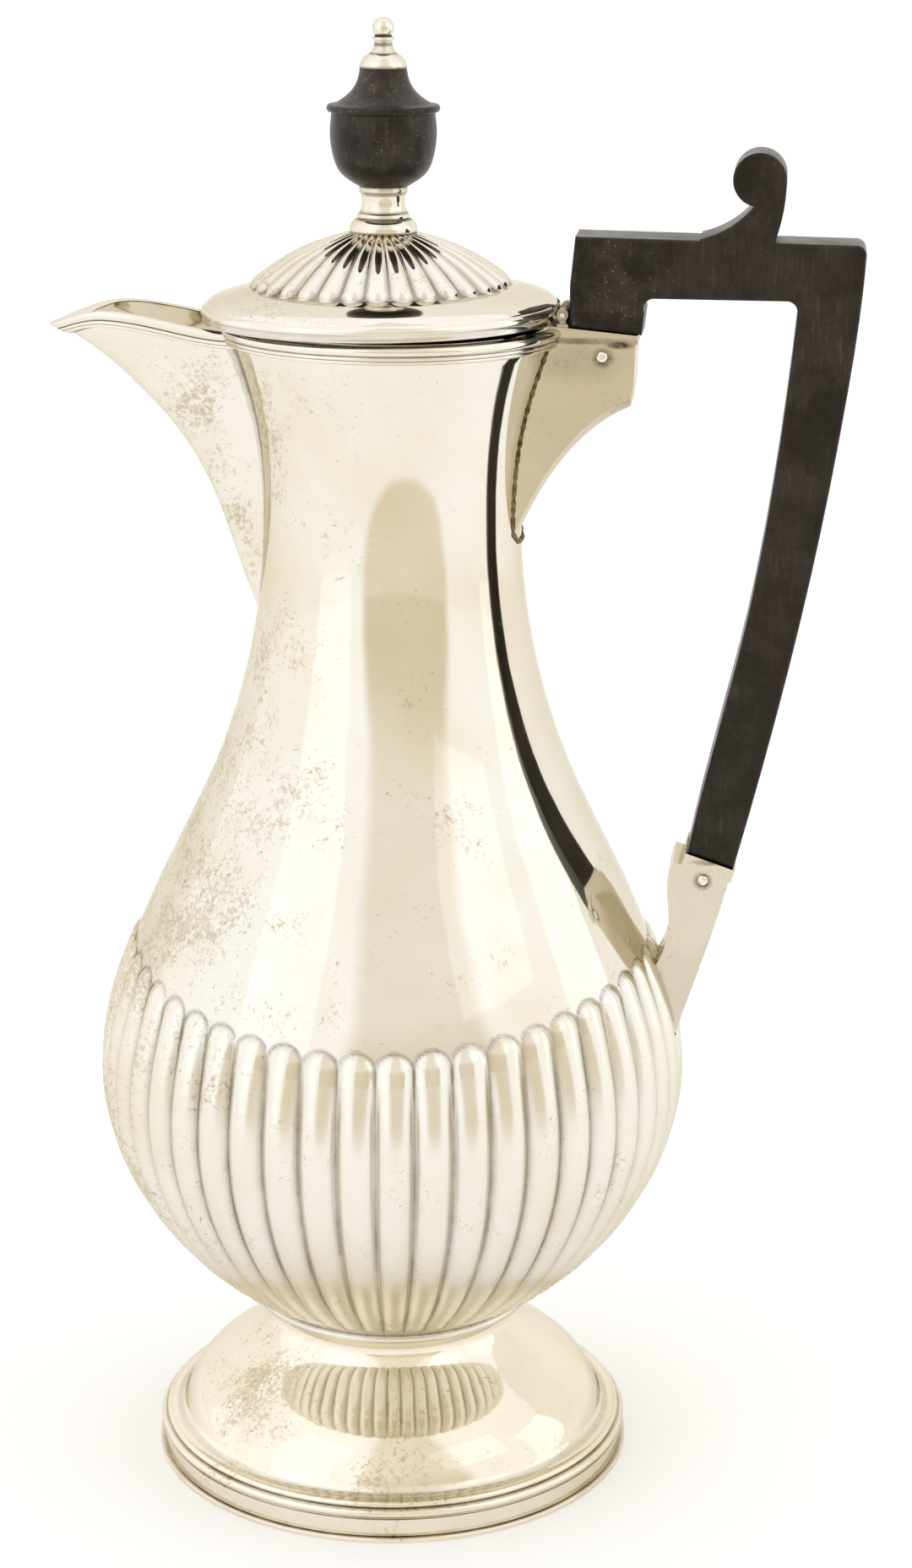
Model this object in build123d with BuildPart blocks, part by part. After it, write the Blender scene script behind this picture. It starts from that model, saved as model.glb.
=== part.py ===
from build123d import *
import os
from math import cos, pi, radians, sin, sqrt

# Hot water jug with a fluted bulb, a waisted neck, a hinged domed lid and a dark wood handle.
# Millimetres. The origin is the centre of the foot's underside, +Z up, handle on +X, spout on -X.

os.makedirs("parts", exist_ok=True)

# Body: radii of the plain surface at named heights, from the mouth down to the foot joint.
sheet = 1.2
mouth_radius = 28.9
mouth_top = 215.2
mouth_moulding_height = 3.1
neck_flare = (25.3, 201.0)
neck_waist = (23.1, 181.5)
neck_root = (25.4, 158.0)
shoulder = (32.5, 134.5)
upper_bulb = (43.7, 111.1)
flute_band = (51.7, 87.8)
belly = (53.0, 77.0)
lower_bulb = (51.2, 64.4)
bulb_turn = (43.4, 48.9)
bulb_foot = (36.7, 41.1)
joint_radius = 26.0
joint_height = 32.1
bowl_dip = 2.1

# Convex flutes: their number, their rise as a share of their own width, and where they start.
body_flutes = 48
lid_flutes = 32
flute_rise = 0.15
lid_flute_rise = 0.2
flute_sink = 0.12
flute_gap = 0.015
flute_stations = 7
flute_top_front = 93.2
flute_top_climb = 7.0

# Foot.
foot_sheet = 1.0
foot_waist = (22.6, 27.6)
foot_flare = (28.6, 20.5)
foot_dome = (34.4, 16.4)
foot_shoulder = (38.4, 12.0)
foot_step = (40.0, 8.4)
foot_ledge = 7.3
foot_top_radius = 25.0
rim_inner_radius = 42.6
rim_band_radius = 44.2
rim_flange_radius = 44.95
rim_flange_height = 0.9
joint_ring_radius = 26.6
joint_ring_height = 0.9

# Mouth and lip moulding: three reeds, the top one widest.
reed_top = 1.75
reed_small = 0.7
reed_reach = 2.1
reed_step = 0.5

# Spout: sections at these heights, each with its nose distance and its half width at the neck.
spout_sheet = 1.1
spout_inner_end = 19.0
spout_root_distance = 19.0
spout_heights = (160.0, 170.6, 184.6, 196.6, 204.6, 209.7, 212.6, 219.0)
spout_noses = (23.4, 27.4, 32.4, 39.6, 47.2, 53.4, 57.6, 60.0)
spout_halves = (2.2, 4.8, 7.2, 9.2, 10.6, 11.5, 11.9, 12.1)
lip_join_distance = 27.5
lip_join_height = 214.4
lip_crest_distance = 49.5
lip_crest_height = 217.2
lip_tip_distance = 60.6
lip_tip_height = 212.3
lip_wall_drop = 0.4
lip_bands = ((1.35, 0.0, 1.7), (0.95, 1.7, 2.35), (0.6, 2.35, 3.0))
lip_nose_heights = (204.0, 208.0, 212.3, 219.0)
lip_nose_distances = (54.0, 57.3, 60.6, 63.0)
lip_underside = ((51.0, 209.1), (62.0, 211.6))

# Handle.
handle_thickness = 12.0
handle_round = 0.7
block_front = 31.6
block_back = 44.6
block_bottom = 215.6
bar_top = 231.4
bar_bottom = 220.8
bar_end = 82.4
scroll_centre = (63.8, 241.4)
scroll_radius = 4.6
grip_outer = ((81.8, 220.0), (79.8, 203.2), (75.8, 177.7), (69.6, 146.8))
grip_inner = ((58.1, 138.6), (63.4, 162.1), (68.2, 192.5))
grip_corner = 70.9
grip_end_outer = (62.8, 118.3)
grip_end_inner = (54.4, 121.1)
tenon_depth = 11.0
tenon_clearance = 0.1
grip_tenon_depth = 6.5
grip_tenon_half = 4.2

# Sockets, collar strips and rivets.
socket_wall = 0.9
socket_half = 6.4
socket_back = 43.0
socket_corner = (42.5, 202.0)
socket_curve = ((34.9, 197.0), (28.9, 189.9))
socket_tip = (22.4, 177.6)
socket_bevel = 1.5
collar_proud = 0.35
collar_height = 2.4
rivet_radius = 0.8
rivet_head_radius = 1.05
rivet_head = 0.45
rivet_hole_clearance = 0.02
upper_rivet = (37.4, 210.7)
lower_rivet = (57.3, 116.1)
lower_rivet_half = 6.37
lower_socket_inner = ((51.3, 108.0), (49.0, 99.0))
lower_socket_tip = (53.0, 85.5)
lower_socket_root = 43.0
lower_socket_tip_half = 4.4

# Lid: radii and heights above the lid's own plane, which is tipped up a little at the hinge.
lid_offset = -2.0
lid_height = 217.6
lid_tip_up = 0.8
lid_sheet = 1.0
lid_radius = 31.0
lid_shoulder = (29.6, 2.1)
lid_cavetto = (25.2, 3.6)
dome_foot = (22.8, 4.1)
dome_middle = (14.6, 9.7)
dome_top = (5.2, 13.3)
dome_height = 13.8
lid_flute_start_radius = 21.4
lid_flute_end_radius = 5.4
lid_edge_width = 0.8
lid_edge_drop = 1.6
bezel_radius = 26.3
bezel_wall = 1.0
bezel_bottom = 212.4

# Hinge.
hinge_x = 30.4
hinge_z = 217.8
hinge_length = 12.0
hinge_knuckles = 5
knuckle_radius = 1.0
knuckle_gap = 0.1
hinge_pin_radius = 0.45
hinge_pin_clearance = 0.05
hinge_relief = 0.2
hinge_clear_half = 2.0
leaf_thickness = 0.7
hinge_plate_top = 216.25

# Finial: heights above the base of the jug.
finial_x = -1.6
finial_base_radius = 5.95
finial_base_bottom = 230.8
finial_base_shoulder = 233.2
finial_waist = (3.75, 236.2)
finial_cup_bottom = 238.8
finial_cup_seat = 4.25
finial_cup_belly = (9.3, 247.6)
finial_cup_top = 251.6
finial_cup_mouth = 9.0
finial_rim_radius = 9.87
finial_rim_height = 1.2
finial_cap_bottom = 259.0
finial_cap_radius = 4.17
finial_cap_top = 261.4
finial_cap_mouth = 2.45
finial_neck_radius = 1.56
finial_ring_bottom = 263.6
finial_ball_radius = 1.93
finial_ball_centre = 265.6
rod_radius = 0.9
rod_clearance = 0.1
rod_top = 264.6
washer_radius = 3.2
washer_thickness = 0.6
nut_width = 4.4
nut_height = 2.0


def write(part, name):
    """Label a finished piece and write it to its own file."""
    part.label = name
    export_step(part, f"parts/{name}.step")


def xz(point):
    """A (radius, height) pair as a point in the XZ plane."""
    return (point[0], 0, point[1])


def at_height(curve, height):
    """The parameter at which a falling curve passes a height."""
    low, high = 0.0, 1.0
    for _ in range(40):
        middle = (low + high) / 2
        if (curve @ middle).Z > height:
            low = middle
        else:
            high = middle
    return (low + high) / 2


def at_radius(curve, radius):
    """The parameter at which a curve running inwards passes a radius."""
    low, high = 0.0, 1.0
    for _ in range(40):
        middle = (low + high) / 2
        if (curve @ middle).X > radius:
            low = middle
        else:
            high = middle
    return (low + high) / 2


def inset_points(curve, distance, count):
    """Points of a curve moved inwards, square to it."""
    points = []
    for i in range(count):
        place = curve @ (i / (count - 1))
        along = curve % (i / (count - 1))
        points.append((place.X + distance * along.Z, place.Z - distance * along.X))
    return points


def flute(curve, start, end, side, count, rise_share):
    """One convex flute along a meridian, with a rounded end at its start."""
    def section(u):
        width = 2 * pi * (curve @ u).X / count
        half = width * (0.5 - flute_gap / 2)
        return half, rise_share * width, Plane(origin=curve @ u, x_dir=(0, side, 0), z_dir=curve % u)

    with BuildPart() as rib:
        for i in range(flute_stations):
            half, rise, plane = section(start + (end - start) * i / (flute_stations - 1))
            with BuildSketch(plane):
                with BuildLine():
                    ThreePointArc((-half, -flute_sink), (0, rise), (half, -flute_sink))
                    Line((half, -flute_sink), (-half, -flute_sink))
                make_face()
        loft()
        half, rise, plane = section(start)
        radius = (half**2 + (rise + flute_sink) ** 2) / (2 * (rise + flute_sink))
        with BuildSketch(plane):
            with BuildLine():
                side_height = rise - radius + sqrt(radius**2 - (half / 2) ** 2)
                ThreePointArc((0, rise), (half / 2, side_height), (half, -flute_sink))
                Line((half, -flute_sink), (0, -flute_sink))
                Line((0, -flute_sink), (0, rise))
            make_face()
        revolve(axis=Axis(plane.origin, plane.y_dir), revolution_arc=180)
    return rib.part


# Body outline, shared by the wall, the flutes and what seats on them.
body_outline = [(mouth_radius, mouth_top - mouth_moulding_height + 0.5), neck_flare, neck_waist, neck_root,
                shoulder, upper_bulb, flute_band, belly, lower_bulb, bulb_turn, bulb_foot,
                (joint_radius, joint_height)]
body_curve = Spline(*[xz(p) for p in body_outline])


def body_flute_ring():
    """The bulb's flutes, whose tops climb from the front towards the spout and the handle."""
    step = 360 / body_flutes
    end = 0.985
    quarter = [flute(body_curve,
                     at_height(body_curve, flute_top_front + flute_top_climb * sin(radians(i * step)) ** 2),
                     end, 1, body_flutes, flute_rise) for i in range(body_flutes // 4 + 1)]
    ring = []
    for i in range(body_flutes):
        folded = i % (body_flutes // 2)
        folded = min(folded, body_flutes // 2 - folded)
        ring.append(quarter[folded].rotate(Axis.Z, i * step - 90))
    return ring


# Outer form of neck and bulb, plain and then fluted.
with BuildPart() as plain_body:
    with BuildSketch(Plane.XZ):
        with BuildLine():
            outline = Spline(*body_outline)
            bowl = Spline(outline @ 1, (joint_radius * 0.6, joint_height - bowl_dip * 0.75),
                          (3, joint_height - bowl_dip))
            Polyline(bowl @ 1, (0, joint_height - bowl_dip), (0, mouth_top), (mouth_radius, mouth_top),
                     outline @ 0)
        make_face()
    revolve(axis=Axis.Z)

with BuildPart() as fluted_body:
    add(plain_body.part)
    add(body_flute_ring())


# Spout forms: the outer skin and the channel inside it.
def spout_form(inset, sections):
    """Loft of the spout's level sections, drawn in by an inset."""
    with BuildPart() as form:
        for height, nose, half in sections:
            with BuildSketch(Plane.XY.offset(height)):
                tip = nose - 1.15 * inset
                side = half - inset
                reach = tip - spout_root_distance
                with BuildLine():
                    Spline((-spout_inner_end, side), (-tip + 0.45 * reach, 0.74 * side),
                           (-tip + 0.12 * reach, 0.45 * side), (-tip, 0),
                           (-tip + 0.12 * reach, -0.45 * side), (-tip + 0.45 * reach, -0.74 * side),
                           (-spout_inner_end, -side))
                    Line((-spout_inner_end, -side), (-spout_inner_end, side))
                make_face()
        loft()
    return form.part


def lip_height(distance):
    """Height of the lip at a distance out from the axis: it rises to a crest and falls to the tip."""
    if distance < lip_crest_distance:
        t = (distance - lip_join_distance) / (lip_crest_distance - lip_join_distance)
        t = max(t, 0)
        return lip_join_height + (lip_crest_height - lip_join_height) * t * t * (3 - 2 * t)
    t = (distance - lip_crest_distance) / (lip_tip_distance - lip_crest_distance)
    return lip_crest_height - (lip_crest_height - lip_tip_height) * t * t


def spout_at(height):
    """Nose distance and half width of the spout at a height, between the stated sections."""
    for i in range(len(spout_heights) - 1):
        low, high = spout_heights[i], spout_heights[i + 1]
        if height <= high:
            t = (height - low) / (high - low)
            nose = spout_noses[i] + t * (spout_noses[i + 1] - spout_noses[i])
            return nose, spout_halves[i] + t * (spout_halves[i + 1] - spout_halves[i])
    return spout_noses[-1], spout_halves[-1]


spout_sections = list(zip(spout_heights, spout_noses, spout_halves))
spout_channel = spout_form(spout_sheet, spout_sections)

def above_lip(drop):
    """Everything higher than a stated drop below the lip."""
    count = 8
    far = lip_tip_distance + 3
    distances = [spout_inner_end - 1 + (far - spout_inner_end + 1) * i / (count - 1) for i in range(count)]
    with BuildPart() as prism:
        with BuildSketch(Plane.XZ):
            with BuildLine():
                lip_line = Spline(*[(-x, lip_height(x) - drop) for x in distances])
                Polyline(lip_line @ 1, (-far, 240), (-distances[0], 240), lip_line @ 0)
            make_face()
        extrude(amount=20, both=True)
    return prism.part


with BuildPart() as spout:
    add(spout_form(0, spout_sections))
    add(spout_channel, mode=Mode.SUBTRACT)
    add(above_lip(lip_wall_drop), mode=Mode.SUBTRACT)
    add(plain_body.part, mode=Mode.SUBTRACT)
write(spout.part, "spout")

with BuildPart() as body_shell:
    add(fluted_body.part)
    with BuildSketch(Plane.XZ):
        with BuildLine():
            inner_points = inset_points(body_curve, sheet, 14)
            inner_wall = Spline(*inner_points)
            floor = Spline(inner_wall @ 1, (joint_radius * 0.5, joint_height - bowl_dip * 0.8 + sheet),
                           (3, joint_height - bowl_dip + sheet))
            Polyline(floor @ 1, (0, joint_height - bowl_dip + sheet), (0, mouth_top + 1),
                     (mouth_radius - sheet, mouth_top + 1), inner_wall @ 0)
        make_face()
    revolve(axis=Axis.Z, mode=Mode.SUBTRACT)
    add(spout_channel, mode=Mode.SUBTRACT)
write(body_shell.part, "body_shell")


# Mouth moulding: three reeds round the neck's top, left open where the spout comes in.
def reeds(foot_radius, foot_height):
    """Outline of three stacked reeds, out from a foot point and up to the top of the mouth."""
    low = foot_height + reed_small
    high = low + reed_small
    top = high + reed_top
    ThreePointArc((foot_radius, foot_height), (foot_radius + reed_step * 0.9, foot_height + reed_small / 2),
                  (foot_radius + reed_step * 0.5, low))
    ThreePointArc((foot_radius + reed_step * 0.5, low), (foot_radius + reed_step * 1.5,
                                                         low + reed_small / 2),
                  (foot_radius + reed_step, high))
    ThreePointArc((foot_radius + reed_step, high), (foot_radius + reed_step * 2.4, high + reed_top * 0.55),
                  (foot_radius + reed_step * 1.2, top))
    return top


spout_outer = spout_form(0, spout_sections)

with BuildPart() as mouth_ring:
    with BuildSketch(Plane.XZ):
        with BuildLine():
            ring_foot = mouth_radius + reed_reach - reed_step * 2.4
            ring_top = reeds(ring_foot, mouth_top - mouth_moulding_height)
            Polyline((ring_foot + reed_step * 1.2, ring_top), (mouth_radius - sheet, ring_top),
                     (mouth_radius - 2 * sheet, mouth_top - mouth_moulding_height),
                     (ring_foot, mouth_top - mouth_moulding_height))
        make_face()
    revolve(axis=Axis.Z)


# Lip moulding: three stepped bands carried out along the spout's edges and round its tip.
lip_sections = [(height, nose, spout_at(height)[1]) for height,
                nose in zip(lip_nose_heights, lip_nose_distances)]

with BuildPart() as below_lip:
    with BuildSketch(Plane.XZ):
        with BuildLine():
            near, far = lip_underside
            Polyline((-near[0], near[1]), (-far[0], far[1]), (-far[0] - 2, 200), (-near[0], 200),
                     (-near[0], near[1]))
        make_face()
    extrude(amount=20, both=True)


def lip_band(reach, top, bottom):
    """One band of the lip moulding between two depths below the lip."""
    with BuildPart() as band:
        add(spout_form(-reach, lip_sections))
        add(above_lip(top), mode=Mode.SUBTRACT)
        add(above_lip(bottom), mode=Mode.INTERSECT)
    return band.part


with BuildPart() as spout_lip_moulding:
    for reach, top, bottom in lip_bands:
        add(lip_band(reach, top, bottom))
    add(spout_outer, mode=Mode.SUBTRACT)
    add(plain_body.part, mode=Mode.SUBTRACT)
    add(below_lip.part, mode=Mode.SUBTRACT)
write(spout_lip_moulding.part, "spout_lip_moulding")

with BuildPart() as mouth_moulding:
    add(mouth_ring.part)
    add(plain_body.part, mode=Mode.SUBTRACT)
    add(spout_outer, mode=Mode.SUBTRACT)
    add(spout_lip_moulding.part, mode=Mode.SUBTRACT)
write(mouth_moulding.part, "mouth_moulding")

# Foot: a domed shell from the bowl down to a heavy moulded rim.
with BuildPart() as foot_shell:
    with BuildSketch(Plane.XZ):
        with BuildLine():
            skin = Spline((foot_top_radius, joint_height - 0.2), foot_waist, foot_flare, foot_dome,
                          foot_shoulder,
                          foot_step)
            cove = ThreePointArc(foot_step, (foot_step[0] + 1.2, foot_ledge + 0.15),
                                 (rim_inner_radius, foot_ledge))
            inner_skin = Spline((foot_top_radius - 2.6, joint_height - 1.4),
                                (foot_waist[0] - foot_sheet, foot_waist[1]),
                                (foot_flare[0] - 0.7, foot_flare[1] - 0.75), (foot_dome[0] - 0.6,
                                                                              foot_dome[1] - 0.85),
                                (foot_shoulder[0] - 0.85, foot_shoulder[1] - 0.6),
                                (foot_step[0] - foot_sheet, foot_step[1] - foot_sheet))
            Polyline(skin @ 0, (foot_top_radius - 2.6, joint_height - 0.2), inner_skin @ 0)
            Polyline(cove @ 1, (rim_inner_radius, rim_flange_height),
                     (rim_inner_radius - foot_sheet, rim_flange_height),
                     (rim_inner_radius - foot_sheet, foot_ledge - foot_sheet), inner_skin @ 1)
        make_face()
    revolve(axis=Axis.Z)
    add(plain_body.part, mode=Mode.SUBTRACT)
write(foot_shell.part, "foot_shell")

with BuildPart() as foot_rim:
    with BuildSketch(Plane.XZ):
        with BuildLine():
            top_bead_foot = foot_ledge - 0.95
            low_bead_foot = top_bead_foot - 1.6
            ThreePointArc((rim_inner_radius, foot_ledge), (rim_inner_radius + 0.9, foot_ledge - 0.4),
                          (rim_inner_radius + 0.7, top_bead_foot))
            Line((rim_inner_radius + 0.7, top_bead_foot), (rim_inner_radius + 1.3, top_bead_foot - 0.1))
            ThreePointArc((rim_inner_radius + 1.3, top_bead_foot - 0.1),
                          (rim_inner_radius + 1.95, low_bead_foot + 0.8), (rim_inner_radius + 1.4,
                                                                           low_bead_foot))
            Polyline((rim_inner_radius + 1.4, low_bead_foot), (rim_band_radius, low_bead_foot - 0.3),
                     (rim_band_radius, rim_flange_height + 0.2), (rim_band_radius - 0.25,
                                                                  rim_flange_height),
                     (rim_flange_radius, rim_flange_height), (rim_flange_radius, 0),
                     (rim_inner_radius - foot_sheet, 0), (rim_inner_radius - foot_sheet, rim_flange_height),
                     (rim_inner_radius, rim_flange_height), (rim_inner_radius, foot_ledge))
        make_face()
    revolve(axis=Axis.Z)
write(foot_rim.part, "foot_rim")

with BuildPart() as foot_joint_ring:
    with BuildSketch(Plane.XZ):
        with BuildLine():
            joint_seam = joint_height - 0.2
            ThreePointArc((foot_top_radius, joint_seam - joint_ring_height),
                          (joint_ring_radius, joint_seam - joint_ring_height / 2),
                          (foot_top_radius, joint_seam + joint_ring_height))
            Line((foot_top_radius, joint_seam + joint_ring_height),
                 (foot_top_radius, joint_seam - joint_ring_height))
        make_face()
    revolve(axis=Axis.Z)
    add(plain_body.part, mode=Mode.SUBTRACT)
    add(foot_shell.part, mode=Mode.SUBTRACT)
write(foot_joint_ring.part, "foot_joint_ring")


# Handle: one sawn and carved board with a rolled thumb scroll, and a tenon at each end.
collar_slope = -0.09


def collar_line(distance):
    """Height of the wood's lower end on the upper socket's collar."""
    return block_bottom + collar_slope * (distance - block_front)


grip_end = (Vector(*grip_end_outer) + Vector(*grip_end_inner)) * 0.5
grip_along = (Vector(*grip_end_outer) - Vector(*grip_end_inner)).normalized()
grip_down = Vector(grip_along.Y, -grip_along.X)


def on_grip_end(along, down):
    """A point in the handle's own plane, measured from the middle of the grip's lower end."""
    place = grip_end + grip_along * along + grip_down * down
    return (place.X, place.Y)


with BuildPart() as thumb_scroll:
    with BuildSketch(Plane.XZ) as scroll_profile:
        with BuildLine():
            notch = (scroll_centre[0] - 0.9, scroll_centre[1] - scroll_radius + 0.1)
            Spline((scroll_centre[0] - 9.9, bar_top - 0.1),
                   (scroll_centre[0] - 4.7, scroll_centre[1] - 7.9), notch)
            ThreePointArc(notch, (scroll_centre[0] - scroll_radius * 0.707,
                                  scroll_centre[1] + scroll_radius * 0.707),
                          (scroll_centre[0] + scroll_radius, scroll_centre[1]))
            Spline((scroll_centre[0] + scroll_radius, scroll_centre[1]),
                   (scroll_centre[0] + 4.2, scroll_centre[1] - 5.4), (scroll_centre[0] + 3.0,
                                                                      bar_top - 0.1))
            Polyline((scroll_centre[0] + 3.0, bar_top - 0.1), (scroll_centre[0] + 3.0, bar_top - 2),
                     (scroll_centre[0] - 9.9, bar_top - 2), (scroll_centre[0] - 9.9, bar_top - 0.1))
        make_face()
        notch_corner = scroll_profile.vertices().sort_by_distance((notch[0], 0, notch[1]))[0]
        fillet(notch_corner, radius=0.5)
    extrude(amount=handle_thickness / 2, both=True)
    rolled = thumb_scroll.edges().filter_by(lambda e: abs(abs(e.center().Y) - handle_thickness / 2) < 0.01
                                            and e.center().Z > bar_top)
    fillet(rolled, radius=handle_round * 0.6)

with BuildPart() as handle:
    with BuildSketch(Plane.XZ):
        with BuildLine():
            Polyline((block_front + 0.8, bar_top - 0.1), (block_front, 223.0),
                     (block_front, block_bottom), (block_back - 0.4, collar_line(block_back - 0.4)),
                     (block_back, bar_bottom - 2.4))
            ThreePointArc((block_back, bar_bottom - 2.4), (block_back + 0.2, bar_bottom - 0.7),
                          (block_back + 1.5, bar_bottom))
            Line((block_back + 1.5, bar_bottom), (grip_corner - 2.0, bar_bottom))
            ThreePointArc((grip_corner - 2.0, bar_bottom), (grip_corner - 0.5, bar_bottom - 0.6),
                          (grip_corner, bar_bottom - 2.0))
            Spline((grip_corner, bar_bottom - 2.0), *reversed(grip_inner), grip_end_inner)
            Line(grip_end_inner, grip_end_outer)
            Spline(grip_end_outer, *reversed(grip_outer), (bar_end, bar_top - 2.6))
            ThreePointArc((bar_end, bar_top - 2.6), (bar_end - 0.5, bar_top - 1.3),
                          (bar_end - 1.9, bar_top - 0.8))
            Line((bar_end - 1.9, bar_top - 0.8), (block_front + 0.8, bar_top - 0.1))
        make_face()
    extrude(amount=handle_thickness / 2, both=True)
    broad_faces = handle.faces().filter_by(Axis.Y)
    fillet(broad_faces.edges(), radius=handle_round)
    add(thumb_scroll.part)
    tenon_half = socket_half - socket_wall - tenon_clearance
    tenon_back = socket_back - socket_wall - tenon_clearance
    with BuildSketch(Plane.XZ):
        with BuildLine():
            Polyline((block_front, block_bottom + 0.5), (tenon_back, collar_line(tenon_back) + 0.5),
                     (tenon_back, block_bottom - tenon_depth), (block_front, block_bottom - tenon_depth),
                     (block_front, block_bottom + 0.5))
        make_face()
    extrude(amount=tenon_half, both=True)
    with BuildSketch(Plane.XZ):
        with BuildLine():
            Polyline(on_grip_end(-2.9, -0.5), on_grip_end(2.5, -0.5), on_grip_end(1.9, grip_tenon_depth),
                     on_grip_end(-2.7, grip_tenon_depth), on_grip_end(-2.9, -0.5))
        make_face()
    extrude(amount=grip_tenon_half, both=True)
    for place in (upper_rivet, lower_rivet):
        with Locations(Plane.XZ.offset(-10) * Pos(*place)):
            Cylinder(rivet_radius + rivet_hole_clearance, 40, mode=Mode.SUBTRACT)
write(handle.part, "handle")


# Upper socket: a curved sheet box soldered to the neck, with its collar strip and rivet.
def upper_socket_outline(lift):
    """Side view of the socket, with its curved underside lifted by an amount."""
    Polyline((20, 173), (20, 213), (socket_back + 0.2, 213), (socket_back, 204.5 + lift),
             (socket_corner[0], socket_corner[1] + lift))
    Spline((socket_corner[0], socket_corner[1] + lift), *[(x, z + lift) for x, z in socket_curve],
           (socket_tip[0], socket_tip[1] + lift))
    Line((socket_tip[0], socket_tip[1] + lift), (20, 173))


with BuildPart() as socket_cheek:
    for distance, lift in ((socket_half - socket_bevel, 0), (socket_half, socket_bevel)):
        with BuildSketch(Plane.XZ.offset(distance)):
            with BuildLine():
                upper_socket_outline(lift)
            make_face()
    loft(ruled=True)
    mirror(about=Plane.XZ)

with BuildPart() as upper_socket:
    with BuildSketch(Plane.XZ):
        with BuildLine():
            upper_socket_outline(0)
        make_face()
    extrude(amount=socket_half - socket_bevel, both=True)
    add(socket_cheek.part)
    with BuildSketch(Plane.XZ):
        with BuildLine():
            Polyline((19, 172), (19, 214), (socket_back + 0.2 - socket_wall, 214),
                     (socket_back - socket_wall, 204.7), (socket_corner[0] - socket_wall,
                                                          socket_corner[1] + 0.5))
            Spline((socket_corner[0] - socket_wall, socket_corner[1] + 0.5),
                   *[(x - socket_wall * 0.6, z + socket_wall * 0.8) for x, z in socket_curve],
                   (socket_tip[0] - 1, socket_tip[1] + 1))
            Line((socket_tip[0] - 1, socket_tip[1] + 1), (19, 172))
        make_face()
    extrude(amount=socket_half - socket_wall, both=True, mode=Mode.SUBTRACT)
    add(plain_body.part, mode=Mode.SUBTRACT)
    add(mouth_ring.part, mode=Mode.SUBTRACT)
    with Locations(Plane.XZ.offset(-10) * Pos(*upper_rivet)):
        Cylinder(rivet_radius + rivet_hole_clearance, 40, mode=Mode.SUBTRACT)
write(upper_socket.part, "upper_socket")

with BuildPart() as upper_socket_collar:
    with BuildSketch(Plane.XZ):
        with BuildLine():
            collar_back = socket_back + 0.2 + collar_proud
            Polyline((28, 213), (28, collar_line(28)), (collar_back, collar_line(collar_back)),
                     (collar_back, 213),
                     (28, 213))
        make_face()
    extrude(amount=socket_half + collar_proud, both=True)
    with BuildSketch(Plane.XZ):
        with Locations(((block_front + tenon_back) / 2, 214)):
            Rectangle(tenon_back - block_front + 2 * tenon_clearance, 10)
    extrude(amount=tenon_half + tenon_clearance, both=True, mode=Mode.SUBTRACT)
    add(plain_body.part, mode=Mode.SUBTRACT)
    add(mouth_ring.part, mode=Mode.SUBTRACT)
write(upper_socket_collar.part, "upper_socket_collar")


def rivet(place, half_width):
    """A turned rivet across a socket, with a domed head at each end."""
    with BuildPart() as pin:
        with BuildSketch():
            with BuildLine():
                Polyline((0, 0), (rivet_radius, 0), (rivet_radius, half_width),
                         (rivet_head_radius, half_width))
                Spline((rivet_head_radius, half_width), (rivet_head_radius * 0.75,
                                                         half_width + rivet_head * 0.7),
                       (rivet_head_radius * 0.2, half_width + rivet_head))
                Polyline((rivet_head_radius * 0.2, half_width + rivet_head),
                         (0, half_width + rivet_head), (0, 0))
            make_face()
        revolve(axis=Axis.Y)
        mirror(about=Plane.XZ)
    return pin.part.moved(Location((place[0], 0, place[1])))


write(rivet(upper_rivet, socket_half), "upper_socket_pin")


# Lower socket: a tapering sheet shoe from the bulb up to the grip.
def lower_form(inset, stations):
    """Loft of the shoe's level sections, bevelled on its outer corners."""
    with BuildPart() as form:
        for height, inner, outer, half in stations:
            with BuildSketch(Plane.XY.offset(height)):
                near = inner + inset
                far = outer - inset
                side = half - inset
                bevel = socket_bevel * half / socket_half
                with BuildLine():
                    Polyline((near, side), (far - bevel, side), (far, side - bevel), (far, bevel - side),
                             (far - bevel, -side), (near, -side), (near, side))
                make_face()
        loft()
    return form.part


lower_stations = ((122.0, 54.4, 63.2, socket_half), (lower_socket_inner[0][1], lower_socket_inner[0][0],
                                                     59.95, 6.1),
                  (lower_socket_inner[1][1], lower_socket_inner[1][0], 57.2, 5.6),
                  (lower_socket_tip[1] + 4.0, lower_socket_root, 54.2, 4.8),
                  (lower_socket_tip[1], lower_socket_root, lower_socket_tip[0], lower_socket_tip_half))

with BuildPart() as above_grip_end:
    with BuildSketch(Plane.XZ):
        with BuildLine():
            Polyline(on_grip_end(-12, collar_height), on_grip_end(12, collar_height), on_grip_end(12, -14),
                     on_grip_end(-12, -14), on_grip_end(-12, collar_height))
        make_face()
    extrude(amount=10, both=True)

with BuildPart() as lower_socket:
    add(lower_form(0, lower_stations))
    add(lower_form(socket_wall, lower_stations[:3]), mode=Mode.SUBTRACT)
    add(above_grip_end.part, mode=Mode.SUBTRACT)
    add(fluted_body.part, mode=Mode.SUBTRACT)
    with Locations(Plane.XZ.offset(-10) * Pos(*lower_rivet)):
        Cylinder(rivet_radius + rivet_hole_clearance, 40, mode=Mode.SUBTRACT)
write(lower_socket.part, "lower_socket")

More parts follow.
